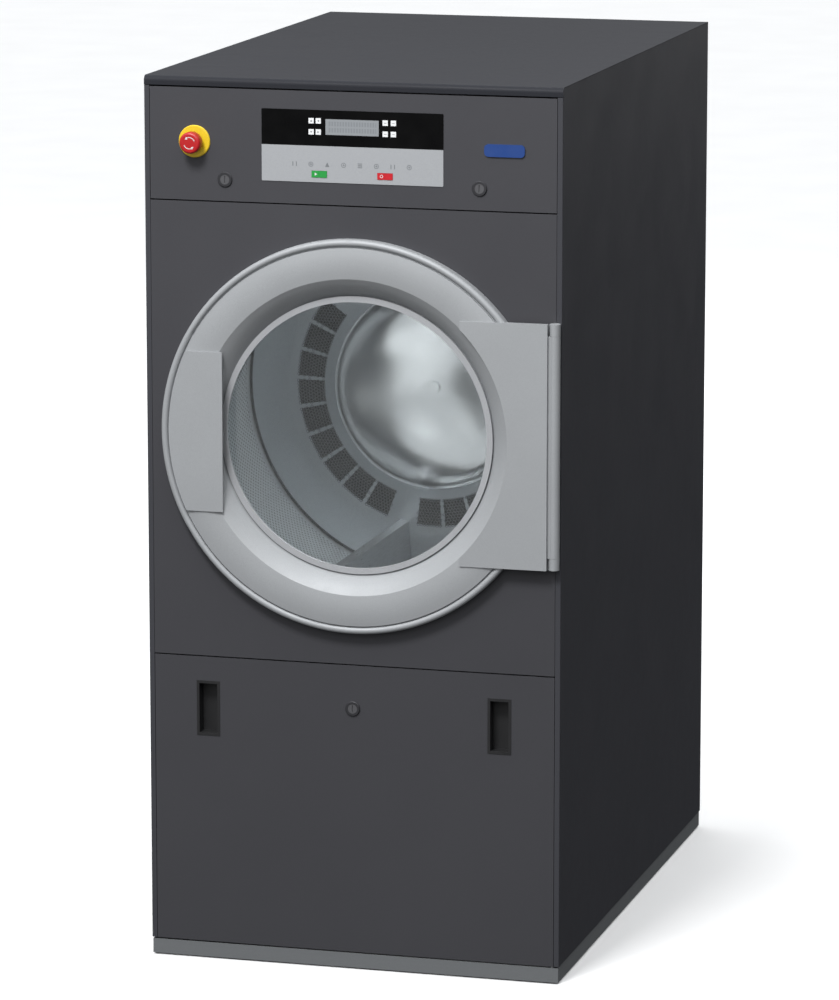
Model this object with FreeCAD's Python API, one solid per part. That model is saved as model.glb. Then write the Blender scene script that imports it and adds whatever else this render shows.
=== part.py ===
import FreeCAD, Part
import math
import os

from FreeCAD import Vector

# Commercial tumble dryer, millimetres. +Z is up, the front faces -Y and +X is to the right of a
# person facing the machine. The origin lies under the middle of the machine at floor level.
# "Depth" below is the distance behind the plane of the front panels; negative depth is in front.

# ---- overall size -----------------------------------------------------------------------------
WIDTH = 795.0
HEIGHT = 1675.0
DEPTH = 1220.0
ESTOP_REACH = 34.0
COLLAR_REACH = 60.0
HALF_W = WIDTH / 2.0
Y_FRONT = ESTOP_REACH - (ESTOP_REACH + DEPTH + COLLAR_REACH) / 2.0
REAR = DEPTH
FULL_TURN = 360.0

# ---- sheet metal ------------------------------------------------------------------------------
SHEET = 1.5
RETURN = 17.0
FLANGE_W = 10.0
PANEL_GAP = 1.0
PANEL_HALF = HALF_W - FLANGE_W - PANEL_GAP
INNER_HALF = HALF_W - SHEET
CABINET_Z0 = 34.0
TOP_UNDER = HEIGHT - SHEET
BEND_R = 10.0
LIP_Z = HEIGHT - 17.0
RUN_GAP = 0.3

# ---- front panels -----------------------------------------------------------------------------
FASCIA_Z0 = 1447.0
FASCIA_Z1 = 1655.0
DOOR_PANEL_Z0 = 587.5
DOOR_PANEL_Z1 = 1444.5
DRAWER_Z0 = CABINET_Z0
DRAWER_Z1 = 585.0

# ---- base -------------------------------------------------------------------------------------
FOOT_H = 3.0
FOOT_R = 19.0
STEM_R = 6.0
STEM_H = 40.0
RAIL_H = 60.0
RAIL_W = 40.0
RAIL_T = 3.0
RAIL_D0 = 18.0
RAIL_D1 = REAR - 3.0
FOOT_INSET_X = 22.0
FOOT_INSET_D = 60.0
PLINTH_TOP = 31.0
PLINTH_T = 2.0
PLINTH_SETBACK = 1.0
ANCHOR_X = 372.0
ANCHOR_R = 6.5
ANCHOR_DEPTHS = (150.0, 1070.0)

# ---- drum -------------------------------------------------------------------------------------
AXIS_X = 5.0
AXIS_Z = 1018.0
DRUM_R = 375.0
DRUM_T = 1.2
DRUM_D0 = 57.0
DRUM_D1 = 557.0
MOUTH_R = 296.0
LIFTER_ANGLES = (17.5, 137.5, 257.5)
LIFTER_H = 103.0
LIFTER_BASE = 78.0
LIFTER_CREST = 16.0
LIFTER_D0 = 100.0
DIMPLE_R = 194.0
DIMPLE_H = 2.0
SPIDER_D0 = 560.0
SPIDER_T = 12.0
SPIDER_W = 46.0
SPIDER_R = 352.0
SHAFT_R = 17.45
SHAFT_D1 = 780.0
HUB_R = 55.0
HUB_BOLT_HEAD_R = 12.0
HUB_BOLT_HEAD_H = 7.0
HUB_BOLT_R = 6.0
HUB_BOLT_L = 32.0

# ---- drum drive -------------------------------------------------------------------------------
PULLEY_R = 300.0
PULLEY_RIM = 14.0
PULLEY_D0 = 745.0
PULLEY_D1 = 775.0
PULLEY_HUB_R = 40.0
PULLEY_SPOKES = 6
PULLEY_SPOKE_W = 26.0
BELT_T = 4.0
BELT_W = 18.0
MOTOR_X = -150.0
MOTOR_Z = 640.0
MOTOR_R = 70.0
MOTOR_D0 = 600.0
MOTOR_D1 = 735.0
MOTOR_PULLEY_R = 20.0
MOTOR_SHAFT_R = 9.0
MOTOR_SHAFT_IN = 60.0
FIN_COUNT = 20
FIN_H = 6.0
FIN_T = 3.0
BEARING_R = 31.0
BEARING_IN_R = 17.5
BEARING_W = 17.0
BEARING_DEPTHS = (590.0, 665.0)
HOUSING_R = 48.0
HOUSING_D1 = 690.0
HOUSING_FLANGE_R = 100.0
HOUSING_FLANGE_T = 10.0
BULKHEAD_D0 = 575.0
BULKHEAD_T = 2.0
BULKHEAD_Z0 = 600.0
BULKHEAD_HOLE_R = 25.0
RUN_FIT = 0.05

# ---- front throat and felt --------------------------------------------------------------------
THROAT_R = 287.0
THROAT_D1 = 51.5
THROAT_FLANGE_R = 335.0
THROAT_FRONT_R = 312.0
FELT_R0 = 302.0
FELT_R1 = 332.0

# ---- door -------------------------------------------------------------------------------------
DOOR_R = 368.7
DOOR_BACK = -1.0
BEAD_R = 6.5
BEAD_TOP = -22.0
GROOVE_W = 2.2
FACE_R0 = 296.0
FACE_EDGE = -20.5
FACE_CROWN = -23.0
DOOR_WALL = 3.0
WELL_R = 260.5
WELL_MID_R = 276.0
WELL_MID_D = -5.0
WELL_D = 20.0
BEZEL_R = 249.5
BEZEL_D0 = 8.0
GLASS_D0 = 15.0
GLASS_T = 5.0
GASKET_R0 = 299.0
GASKET_R1 = 311.0
PLATE_FRONT = -25.0
PLATE_BACK = -14.0
PLATE_HALF_H = 228.0
PLATE_X0 = 211.0
PLATE_X1 = 376.0
HINGE_X = 387.0
HINGE_D = -11.0
BARREL_R = 10.2
KNUCKLE_H = 22.0
PIN_R = 4.0
PIN_L = 30.0
HANDLE_EDGE_X = -243.0
HANDLE_HALF_H = 150.0
HANDLE_FRONT = -25.5
HANDLE_BACK = -21.0
HANDLE_R = 352.5
KEEPER_R = 330.0
KEEPER_W = 20.0
KEEPER_H = 30.0
KEEPER_T = 10.0

# ---- fascia -----------------------------------------------------------------------------------
FASCIA_AXIS_D = 6.0
FASCIA_AXIS_Z = 1652.0
FASCIA_PIN_R = 3.0
FASCIA_PIN_L = 12.0
OVERLAY_X0 = -171.0
OVERLAY_X1 = 174.0
OVERLAY_Z0 = 1488.0
OVERLAY_Z1 = 1621.0
OVERLAY_T = 1.2
OVERLAY_CORNER = 2.0
LCD_X0 = -49.0
LCD_X1 = 52.0
LCD_Z0 = 1576.0
LCD_Z1 = 1605.0
LCD_T = 1.0
PAD_SIZE = 10.0
PAD_H = 0.6
PAD_LEFT_X = (-76.0, -62.5)
PAD_RIGHT_X = (64.5, 80.0)
PAD_Z = (1580.6, 1601.0)
KEY_Z = 1503.0
KEY_H = 12.0
KEY_W = 29.0
START_X = -61.0
STOP_X = 64.0
KEY_FRONT = -2.2
KEY_BACK = 4.0
KEY_CLEAR = 0.35
KEY_GROOVE = 1.2
BADGE_X0 = 251.0
BADGE_X1 = 327.0
BADGE_Z0 = 1546.0
BADGE_Z1 = 1569.0
BADGE_T = 3.0
BADGE_CORNER = 8.0
ESTOP_X = -300.0
ESTOP_Z = 1556.0
ESTOP_DISC_R = 30.0
ESTOP_DISC_T = 4.0
ESTOP_BODY_R = 15.0
ESTOP_BODY_D = 45.0
ESTOP_STEM_R = 8.0
ESTOP_STEM_FRONT = -26.0
ESTOP_STEM_BACK = 30.0
ESTOP_HEAD_R = 20.0
ESTOP_HEAD_BACK = -16.0
ESTOP_HEAD_ROUND = 5.0
ESTOP_CAP_GAP = 0.5

# ---- quarter-turn locks -----------------------------------------------------------------------
LOCK_X = 242.0
LOCK_Z = 1487.0
DRAWER_LOCK_Z = 503.0
LOCK_COLLAR_R = 14.0
LOCK_COLLAR_T = 3.0
LOCK_TUBE_R = 11.0
LOCK_PLUG_R = 9.0
LOCK_TUBE_D = 18.0
LOCK_PLUG_FRONT = -2.4
CAM_D0 = 18.8
CAM_D1 = 21.3
CAM_W = 16.0
CAM_L_FASCIA = 48.0
CAM_L_DRAWER = 95.0
SLOT_W = 2.4
SLOT_DEPTH = 2.0

# ---- lint drawer ------------------------------------------------------------------------------
GRIP_X = 282.0
GRIP_W = 35.0
GRIP_Z0 = 439.0
GRIP_Z1 = 534.0
GRIP_DEPTH = 26.0
GRIP_T = 2.0
GRIP_LIP = 3.0
GRIP_LIP_T = 1.0
TRAY_HALF = 375.0
TRAY_Z0 = 199.3
TRAY_Z1 = 330.0
TRAY_D1 = 540.0
SHELF_T = 2.0
SHELF_D0 = 25.0
SHELF_D1 = 560.0
SHELF_X0 = 350.0
SHELF_WALL_H = 40.0

# ---- air path and rear ------------------------------------------------------------------------
FAN_X = 90.0
FAN_Z = 290.0
FAN_HOUSING_R = 200.0
FAN_D0 = 850.0
FAN_D1 = 1000.0
DUCT_X0 = -310.0
DUCT_X1 = -100.0
DUCT_Z0 = 280.0
DUCT_Z1 = 490.0
FAN_WALL = 1.5
FAN_INLET_R = 115.0
FAN_WHEEL_R = 150.0
FAN_WHEEL_D0 = 862.0
FAN_WHEEL_D1 = 980.0
FAN_BLADES = 16
FAN_BLADE_L = 42.0
FAN_PLATE_T = 3.0
FAN_HUB_R = 22.0
FAN_SHAFT_R = 8.0
FAN_SHAFT_HOLE_R = 10.0
FAN_MOTOR_R = 75.0
FAN_MOTOR_D1 = 1150.0
FAN_SHAFT_IN = 50.0
COLLAR_X = -205.0
COLLAR_Z = 385.0
COLLAR_R = 100.0
COLLAR_T = 1.5
COLLAR_FLANGE_R = 125.0
HEATER_X = 300.0
HEATER_Z0 = 1330.0
HEATER_Z1 = 1600.0
HEATER_D1 = 735.0
CONTROL_X0 = -150.0
CONTROL_X1 = 200.0
CONTROL_Z0 = 1560.0
CONTROL_D0 = 60.0
CONTROL_D1 = 260.0
LOUVRE_ROWS = 12
LOUVRE_W = 190.0
LOUVRE_H = 6.0
LOUVRE_PITCH = 20.0
LOUVRE_Z0 = 1330.0
LOUVRE_X = 170.0
GLAND_X = 300.0
GLAND_Z = 1600.0
GLAND_R = 12.0
GLAND_NUT_R = 17.0
GLAND_BORE_R = 7.0
GLAND_FRONT = 1206.0
GLAND_REACH = 26.0
GLAND_NUT_T = 8.0
SCREW_HEAD_R = 5.0
SCREW_HEAD_H = 2.5
SCREW_R = 2.5
SCREW_L = 8.0
SCREW_ROWS = 5
SCREW_X = HALF_W - 12.0
SCREW_Z0 = 90.0
SCREW_Z1 = 1630.0
REAR_FLANGE = 20.0
HEX_SIDES = 6

AXIS_Y = Vector(0, 1, 0)
AXIS_UP = Vector(0, 0, 1)
AXIS_RIGHT = Vector(1, 0, 0)


# ---- helpers ----------------------------------------------------------------------------------
def box(x0, x1, d0, d1, z0, z1):
    """Block between two X values, two depths and two heights."""
    return Part.makeBox(x1 - x0, d1 - d0, z1 - z0, Vector(x0, Y_FRONT + d0, z0))


def rod(x, z, radius, d0, d1):
    """Round bar along the depth of the machine."""
    return Part.makeCylinder(radius, d1 - d0, Vector(x, Y_FRONT + d0, z), AXIS_Y)


def tube(x, z, r_out, r_in, d0, d1):
    """Round tube along the depth of the machine."""
    return rod(x, z, r_out, d0, d1).cut(rod(x, z, r_in, d0, d1))


def rod_up(x, d, radius, z0, z1):
    """Upright round bar."""
    return Part.makeCylinder(radius, z1 - z0, Vector(x, Y_FRONT + d, z0), AXIS_UP)


def rod_across(d, z, radius, x0, x1):
    """Round bar from left to right."""
    return Part.makeCylinder(radius, x1 - x0, Vector(x0, Y_FRONT + d, z), AXIS_RIGHT)


def fuse(shapes):
    """One solid from touching shapes."""
    result = shapes[0].fuse(shapes[1:])
    return result.removeSplitter()


def turned(edges, x, z):
    """Solid of revolution about a depth axis; the outline edges are in (radius, depth) form."""
    wire = Part.Wire(edges)
    wire.translate(Vector(x, Y_FRONT, z))
    face = Part.Face(wire)
    return face.revolve(Vector(x, 0, z), AXIS_Y, FULL_TURN)


def line(a, b):
    """Straight outline edge between two (radius, depth) points."""
    return Part.LineSegment(Vector(a[0], a[1], 0), Vector(b[0], b[1], 0)).toShape()


def arc(a, mid, b):
    """Outline arc through three (radius, depth) points."""
    start = Vector(a[0], a[1], 0)
    end = Vector(b[0], b[1], 0)
    return Part.Arc(start, Vector(mid[0], mid[1], 0), end).toShape()


def spun(shape, x, z, angle):
    """Copy of a shape turned about a depth axis, counter-clockwise as seen from the front."""
    copy = shape.copy()
    copy.rotate(Vector(x, 0, z), AXIS_Y, -angle)
    return copy


def pan(x0, x1, z0, z1):
    """Pressed sheet panel with a return along each edge."""
    outer = box(x0, x1, 0, RETURN, z0, z1)
    inner = box(x0 + SHEET, x1 - SHEET, SHEET, RETURN, z0 + SHEET, z1 - SHEET)
    return outer.cut(inner)


def rounded_plate(x0, x1, d0, d1, z0, z1, radius):
    """Plate with rounded corners in the front view."""
    plate = box(x0, x1, d0, d1, z0, z1)
    edges = [e for e in plate.Edges if is_along_depth(e)]
    return plate.makeFillet(radius, edges)


def is_along_depth(edge):
    """True for a straight edge that runs from front to back."""
    first, last = edge.Vertexes[0].Point, edge.Vertexes[-1].Point
    return abs(first.x - last.x) < RUN_FIT and abs(first.z - last.z) < RUN_FIT


def mirrored(shape):
    """Left-hand copy of a right-hand piece."""
    return shape.mirror(Vector(0, 0, 0), AXIS_RIGHT)


def save(name, shape):
    """Write one named piece."""
    os.makedirs("parts", exist_ok=True)
    solids = shape.Solids
    result = solids[0] if len(solids) == 1 else Part.makeCompound(solids)
    result.exportStep("parts/" + name + ".step")


# ---- base and cabinet -------------------------------------------------------------------------
def foot_spots():
    """Middle of each levelling foot as (x, depth)."""
    x = INNER_HALF - FOOT_INSET_X
    return [(sx * x, d) for sx in (-1, 1) for d in (FOOT_INSET_D, REAR - FOOT_INSET_D)]


def base_rail_right():
    """Channel along the right bottom edge, open towards the middle."""
    x0 = INNER_HALF - RAIL_W
    outer = box(x0, INNER_HALF, RAIL_D0, RAIL_D1, FOOT_H, FOOT_H + RAIL_H)
    hollow = box(x0, INNER_HALF - RAIL_T, RAIL_D0, RAIL_D1, FOOT_H + RAIL_T, FOOT_H + RAIL_H - RAIL_T)
    rail = outer.cut(hollow)
    floor_z1 = FOOT_H + RAIL_T
    holes = [rod_up(x, d, STEM_R, FOOT_H, floor_z1) for x, d in foot_spots()]
    holes += [rod_up(ANCHOR_X, d, ANCHOR_R, FOOT_H, floor_z1) for d in ANCHOR_DEPTHS]
    return rail.cut(holes)


def levelling_feet():
    """Four screwed feet, wound nearly all the way in."""
    feet = []
    for x, d in foot_spots():
        pad = rod_up(x, d, FOOT_R, 0, FOOT_H)
        stem = rod_up(x, d, STEM_R, FOOT_H, STEM_H)
        feet.append(fuse([pad, stem]))
    return Part.makeCompound(feet)


def plinth_strip():
    """Shallow tray-shaped strip that closes the front of the base."""
    d0 = PLINTH_SETBACK
    face = box(-INNER_HALF, INNER_HALF, d0, d0 + PLINTH_T, FOOT_H, PLINTH_TOP)
    leg = box(-INNER_HALF, INNER_HALF, d0 + PLINTH_T, RAIL_D0, FOOT_H, FOOT_H + PLINTH_T)
    ends = []
    for side in (-1, 1):
        xa = side * INNER_HALF
        xb = xa - side * PLINTH_T
        ends.append(box(min(xa, xb), max(xa, xb), d0 + PLINTH_T, RAIL_D0, FOOT_H, PLINTH_TOP))
    return fuse([face, leg] + ends)


def bend_section(outer_r, inner_r, x0, x1):
    """Quarter-round sheet bend along the top front edge."""
    z = HEIGHT - BEND_R
    bend = rod_across(BEND_R, z, outer_r, x0, x1).cut(rod_across(BEND_R, z, inner_r, x0, x1))
    return bend.common(box(x0, x1, 0, BEND_R, z, HEIGHT))


def top_panel():
    """Flat top with a rounded front edge and a short lip."""
    flat = box(-HALF_W, HALF_W, BEND_R, REAR, TOP_UNDER, HEIGHT)
    bend = bend_section(BEND_R, BEND_R - SHEET, -HALF_W, HALF_W)
    lip = box(-HALF_W, HALF_W, 0, SHEET, LIP_Z, HEIGHT - BEND_R)
    return fuse([flat, bend, lip])


def side_sheet():
    """Flat of the right side, rounded under the front bend of the top."""
    z_bend = HEIGHT - BEND_R
    low = box(INNER_HALF, HALF_W, SHEET, REAR - SHEET, CABINET_Z0, z_bend)
    high = box(INNER_HALF, HALF_W, BEND_R, REAR - SHEET, z_bend, TOP_UNDER)
    corner = rod_across(BEND_R, z_bend, BEND_R - SHEET, INNER_HALF, HALF_W)
    corner = corner.common(box(INNER_HALF, HALF_W, SHEET, BEND_R, z_bend, TOP_UNDER))
    return fuse([low, high, corner])


def side_panel_right(screws):
    """Right side sheet with front and rear flanges."""
    front = box(HALF_W - FLANGE_W, HALF_W, 0, SHEET, CABINET_Z0, LIP_Z - PANEL_GAP)
    rear_d1 = REAR - SHEET
    rear = box(INNER_HALF - REAR_FLANGE, INNER_HALF, rear_d1 - SHEET, rear_d1, CABINET_Z0, TOP_UNDER)
    panel = fuse([side_sheet(), front, rear])
    rounded = [e for e in panel.Edges if is_front_corner(e)]
    panel = panel.makeFillet(SHEET, rounded)
    return panel.cut(screws)


def is_front_corner(edge):
    """True for the upright outer edge between a side and its front flange."""
    first, last = edge.Vertexes[0].Point, edge.Vertexes[-1].Point
    upright = abs(first.z - last.z) > HEIGHT / 2.0
    outside = abs(first.x - HALF_W) < RUN_FIT and abs(last.x - HALF_W) < RUN_FIT
    forward = abs(first.y - Y_FRONT) < RUN_FIT and abs(last.y - Y_FRONT) < RUN_FIT
    return upright and outside and forward


def front_panel():
    """Fixed panel round the loading opening, held behind the side flanges."""
    panel = pan(-PANEL_HALF, PANEL_HALF, DOOR_PANEL_Z0, DOOR_PANEL_Z1)
    ears = []
    for side in (-1, 1):
        xa = side * (PANEL_HALF - SHEET)
        xb = side * INNER_HALF
        ears.append(box(min(xa, xb), max(xa, xb), SHEET, 2 * SHEET, DOOR_PANEL_Z0, DOOR_PANEL_Z1))
    panel = fuse([panel] + ears)
    return panel.cut(rod(AXIS_X, AXIS_Z, THROAT_R + SHEET, 0, RETURN))


def screw_spots():
    """Rear screws as (x, height)."""
    step = (SCREW_Z1 - SCREW_Z0) / (SCREW_ROWS - 1)
    return [(side * SCREW_X, SCREW_Z0 + i * step) for side in (-1, 1) for i in range(SCREW_ROWS)]


def panel_screws():
    """Pan-head screws that hold the rear panel."""
    screws = []
    for x, z in screw_spots():
        head = rod(x, z, SCREW_HEAD_R, REAR, REAR + SCREW_HEAD_H)
        stem = rod(x, z, SCREW_R, REAR - SCREW_L, REAR)
        screws.append(fuse([head, stem]))
    return Part.makeCompound(screws)


def rear_panel(screws):
    """Rear sheet with air slots, a duct hole and a cable hole."""
    sheet = box(-HALF_W, HALF_W, REAR - SHEET, REAR, CABINET_Z0, TOP_UNDER)
    slots = []
    for column in (-1, 1):
        for row in range(LOUVRE_ROWS):
            z = LOUVRE_Z0 + row * LOUVRE_PITCH
            x = column * LOUVRE_X
            half = LOUVRE_W / 2.0
            slots.append(box(x - half, x + half, REAR - SHEET, REAR, z, z + LOUVRE_H))
    holes = [rod(COLLAR_X, COLLAR_Z, COLLAR_R - COLLAR_T, REAR - SHEET, REAR)]
    holes.append(rod(GLAND_X, GLAND_Z, GLAND_R, REAR - SHEET, REAR))
    return sheet.cut(slots + holes).cut(screws)


def throat_ring():
    """Short round throat between the loading opening and the drum mouth."""
    wall = THROAT_R + SHEET
    barrel = tube(AXIS_X, AXIS_Z, wall, THROAT_R, 0, THROAT_D1)
    front = tube(AXIS_X, AXIS_Z, THROAT_FRONT_R, THROAT_R, SHEET, 2 * SHEET)
    back = tube(AXIS_X, AXIS_Z, THROAT_FLANGE_R, THROAT_R, THROAT_D1 - SHEET, THROAT_D1)
    return fuse([barrel, front, back])


def throat_felt():
    """Felt ring that seals against the turning drum."""
    return tube(AXIS_X, AXIS_Z, FELT_R1, FELT_R0, THROAT_D1, DRUM_D0 - RUN_GAP)


def rear_bulkhead():
    """Upright plate behind the drum; it carries the bearing housing and the motor."""
    d1 = BULKHEAD_D0 + BULKHEAD_T
    plate = box(-INNER_HALF, INNER_HALF, BULKHEAD_D0, d1, BULKHEAD_Z0, TOP_UNDER)
    return plate.cut(rod(AXIS_X, AXIS_Z, BULKHEAD_HOLE_R, BULKHEAD_D0, d1))


# ---- drum -------------------------------------------------------------------------------------
def drum_shell():
    """Drum wall with its front end ring."""
    outer = DRUM_R + DRUM_T
    wall = tube(AXIS_X, AXIS_Z, outer, DRUM_R, DRUM_D0, DRUM_D1)
    ring = tube(AXIS_X, AXIS_Z, outer, MOUTH_R, DRUM_D0, DRUM_D0 + DRUM_T)
    return fuse([wall, ring])


def drum_back():
    """Rear wall of the drum with a raised centre disc."""
    plate = rod(AXIS_X, AXIS_Z, DRUM_R + DRUM_T, DRUM_D1, DRUM_D1 + DRUM_T)
    raised = rod(AXIS_X, AXIS_Z, DIMPLE_R, DRUM_D1 - DIMPLE_H, DRUM_D1)
    hole = rod(AXIS_X, AXIS_Z, HUB_BOLT_R, DRUM_D1 - DIMPLE_H, DRUM_D1 + DRUM_T)
    return fuse([plate, raised]).cut(hole)


def rib_block(inset):
    """Trapezium rib pointing right along the drum, inset from the outer faces of the pressing."""
    crest = DRUM_R - LIFTER_H + inset
    half_base = LIFTER_BASE / 2.0 - inset
    half_crest = LIFTER_CREST / 2.0 - inset
    root = DRUM_R + DRUM_T
    outline = [(root, -half_base), (crest, -half_crest), (crest, half_crest), (root, half_base)]
    y0 = Y_FRONT + LIFTER_D0 + inset
    corners = [Vector(AXIS_X + r, y0, AXIS_Z + h) for r, h in outline]
    face = Part.Face(Part.makePolygon(corners + corners[:1]))
    return face.extrude(Vector(0, DRUM_D1 - LIFTER_D0 - inset, 0))


def lifter(angle):
    """Hollow pressed rib inside the drum, open towards the drum wall."""
    rib = rib_block(0).cut(rib_block(SHEET))
    rib = rib.common(rod(AXIS_X, AXIS_Z, DRUM_R, LIFTER_D0, DRUM_D1))
    return spun(rib, AXIS_X, AXIS_Z, angle)


def drum_shaft():
    """Shaft with the three-armed spider welded to it, bored for the hub bolt."""
    arms = []
    d1 = SPIDER_D0 + SPIDER_T
    d0 = DRUM_D1 + DRUM_T
    for angle in LIFTER_ANGLES:
        half = SPIDER_W / 2.0
        arm = box(AXIS_X, AXIS_X + SPIDER_R, d0, d1, AXIS_Z - half, AXIS_Z + half)
        arms.append(spun(arm, AXIS_X, AXIS_Z, angle))
    hub = rod(AXIS_X, AXIS_Z, HUB_R, d0, d1)
    shaft = rod(AXIS_X, AXIS_Z, SHAFT_R, d0, SHAFT_D1)
    bore = rod(AXIS_X, AXIS_Z, HUB_BOLT_R, d0, DRUM_D1 + HUB_BOLT_L)
    return fuse([hub, shaft] + arms).cut(bore)


def hub_bolt():
    """Centre bolt that clamps the drum back to the shaft."""
    face = DRUM_D1 - DIMPLE_H
    head = rod(AXIS_X, AXIS_Z, HUB_BOLT_HEAD_R, face - HUB_BOLT_HEAD_H, face)
    stem = rod(AXIS_X, AXIS_Z, HUB_BOLT_R, face, DRUM_D1 + HUB_BOLT_L)
    return fuse([head, stem])


def drum_pulley():
    """Large flat-belt pulley keyed to the rear end of the shaft."""
    rim = tube(AXIS_X, AXIS_Z, PULLEY_R, PULLEY_R - PULLEY_RIM, PULLEY_D0, PULLEY_D1)
    hub = rod(AXIS_X, AXIS_Z, PULLEY_HUB_R, PULLEY_D0, PULLEY_D1)
    spokes = []
    half = PULLEY_SPOKE_W / 2.0
    mid = (PULLEY_D0 + PULLEY_D1) / 2.0
    reach = PULLEY_R - PULLEY_RIM / 2.0
    for i in range(PULLEY_SPOKES):
        spoke = box(AXIS_X, AXIS_X + reach, mid - BELT_T, mid + BELT_T, AXIS_Z - half, AXIS_Z + half)
        spokes.append(spun(spoke, AXIS_X, AXIS_Z, i * FULL_TURN / PULLEY_SPOKES))
    wheel = fuse([rim, hub] + spokes)
    return wheel.cut(rod(AXIS_X, AXIS_Z, SHAFT_R, PULLEY_D0, PULLEY_D1))


# ---- drum drive -------------------------------------------------------------------------------
def bearing_housing():
    """Flanged tube on the bulkhead for the two shaft bearings."""
    d0 = BULKHEAD_D0 + BULKHEAD_T
    flange = rod(AXIS_X, AXIS_Z, HOUSING_FLANGE_R, d0, d0 + HOUSING_FLANGE_T)
    body = rod(AXIS_X, AXIS_Z, HOUSING_R, d0, HOUSING_D1)
    outer = fuse([flange, body])
    bore = rod(AXIS_X, AXIS_Z, BEARING_R, BEARING_DEPTHS[0], HOUSING_D1)
    return outer.cut([bore, rod(AXIS_X, AXIS_Z, BULKHEAD_HOLE_R, d0, HOUSING_D1)])


def bearings():
    """Two equal ball bearings, each drawn as one sealed ring."""
    rings = []
    for d in BEARING_DEPTHS:
        rings.append(tube(AXIS_X, AXIS_Z, BEARING_R, BEARING_IN_R, d, d + BEARING_W))
    return Part.makeCompound(rings)


def motor_body(x, z, radius, d0, d1):
    """Finned motor casing."""
    parts = [rod(x, z, radius - FIN_H, d0, d1)]
    inset = (d1 - d0) / FIN_COUNT
    for i in range(FIN_COUNT):
        fin = box(x, x + radius, d0 + inset, d1 - inset, z - FIN_T / 2.0, z + FIN_T / 2.0)
        parts.append(spun(fin, x, z, i * FULL_TURN / FIN_COUNT))
    return fuse(parts)


def drive_motor():
    """Drum motor with a foot block on the bulkhead and a bore for its shaft."""
    d0 = BULKHEAD_D0 + BULKHEAD_T
    half = MOTOR_R / 2.0
    block = box(MOTOR_X - half, MOTOR_X + half, d0, MOTOR_D0, MOTOR_Z - half, MOTOR_Z + half)
    body = fuse([motor_body(MOTOR_X, MOTOR_Z, MOTOR_R, MOTOR_D0, MOTOR_D1), block])
    bore_d0 = MOTOR_D1 - MOTOR_SHAFT_IN - RUN_GAP
    return body.cut(rod(MOTOR_X, MOTOR_Z, MOTOR_SHAFT_R + RUN_FIT, bore_d0, MOTOR_D1))


def motor_pulley():
    """Small pulley in one piece with the motor shaft."""
    shaft = rod(MOTOR_X, MOTOR_Z, MOTOR_SHAFT_R, MOTOR_D1 - MOTOR_SHAFT_IN, PULLEY_D1)
    wheel = rod(MOTOR_X, MOTOR_Z, MOTOR_PULLEY_R, PULLEY_D0, PULLEY_D1)
    return fuse([shaft, wheel])


def belt_outline(grow, d0, d1):
    """Filled outline of a belt round both pulleys, each pulley radius grown by the same amount."""
    big = PULLEY_R + grow
    small = MOTOR_PULLEY_R + grow
    dx = MOTOR_X - AXIS_X
    dz = MOTOR_Z - AXIS_Z
    span = math.hypot(dx, dz)
    heading = math.atan2(dz, dx)
    lean = math.acos((big - small) / span)
    corners = []
    for cx, cz, r, turns in ((AXIS_X, AXIS_Z, big, (1, -1)), (MOTOR_X, MOTOR_Z, small, (-1, 1))):
        for turn in turns:
            a = heading + turn * lean
            corners.append(Vector(cx + r * math.cos(a), Y_FRONT + d0, cz + r * math.sin(a)))
    face = Part.Face(Part.makePolygon(corners + corners[:1]))
    middle = face.extrude(Vector(0, d1 - d0, 0))
    return fuse([middle, rod(AXIS_X, AXIS_Z, big, d0, d1), rod(MOTOR_X, MOTOR_Z, small, d0, d1)])


def drum_belt():
    """Belt from the motor pulley to the drum pulley."""
    mid = (PULLEY_D0 + PULLEY_D1) / 2.0
    d0 = mid - BELT_W / 2.0
    d1 = mid + BELT_W / 2.0
    return belt_outline(RUN_GAP + BELT_T, d0, d1).cut(belt_outline(RUN_GAP, d0, d1))


# ---- door -------------------------------------------------------------------------------------
def door_ring():
    """Pressed door frame: outer bead, groove, crowned face and a well down to the glass."""
    bead_in = DOOR_R - 2 * BEAD_R
    bead_foot = BEAD_TOP + BEAD_R
    bead_mid = (DOOR_R - BEAD_R, BEAD_TOP)
    face_out = bead_in - GROOVE_W
    face_mid = ((face_out + FACE_R0) / 2.0, FACE_CROWN)
    back = FACE_EDGE + DOOR_WALL
    well_out = WELL_R + DOOR_WALL
    groove_back = bead_foot + DOOR_WALL
    edges = [
        line((DOOR_R, DOOR_BACK), (DOOR_R, bead_foot)),
        arc((DOOR_R, bead_foot), bead_mid, (bead_in, bead_foot)),
        line((bead_in, bead_foot), (face_out, bead_foot)),
        line((face_out, bead_foot), (face_out, FACE_EDGE)),
        arc((face_out, FACE_EDGE), face_mid, (FACE_R0, FACE_EDGE)),
        arc((FACE_R0, FACE_EDGE), (WELL_MID_R, WELL_MID_D), (WELL_R, GLASS_D0)),
        line((WELL_R, GLASS_D0), (WELL_R, WELL_D)),
        line((WELL_R, WELL_D), (well_out, WELL_D)),
        line((well_out, WELL_D), (well_out, GLASS_D0)),
        arc((well_out, GLASS_D0), (WELL_MID_R + DOOR_WALL, WELL_MID_D + SHEET), (FACE_R0, back)),
        line((FACE_R0, back), (face_out - DOOR_WALL, back)),
        line((face_out - DOOR_WALL, back), (face_out - DOOR_WALL, groove_back)),
        line((face_out - DOOR_WALL, groove_back), (DOOR_R - DOOR_WALL, groove_back)),
        line((DOOR_R - DOOR_WALL, groove_back), (DOOR_R - DOOR_WALL, DOOR_BACK)),
        line((DOOR_R - DOOR_WALL, DOOR_BACK), (DOOR_R, DOOR_BACK)),
    ]
    return turned(edges, AXIS_X, AXIS_Z)


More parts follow.
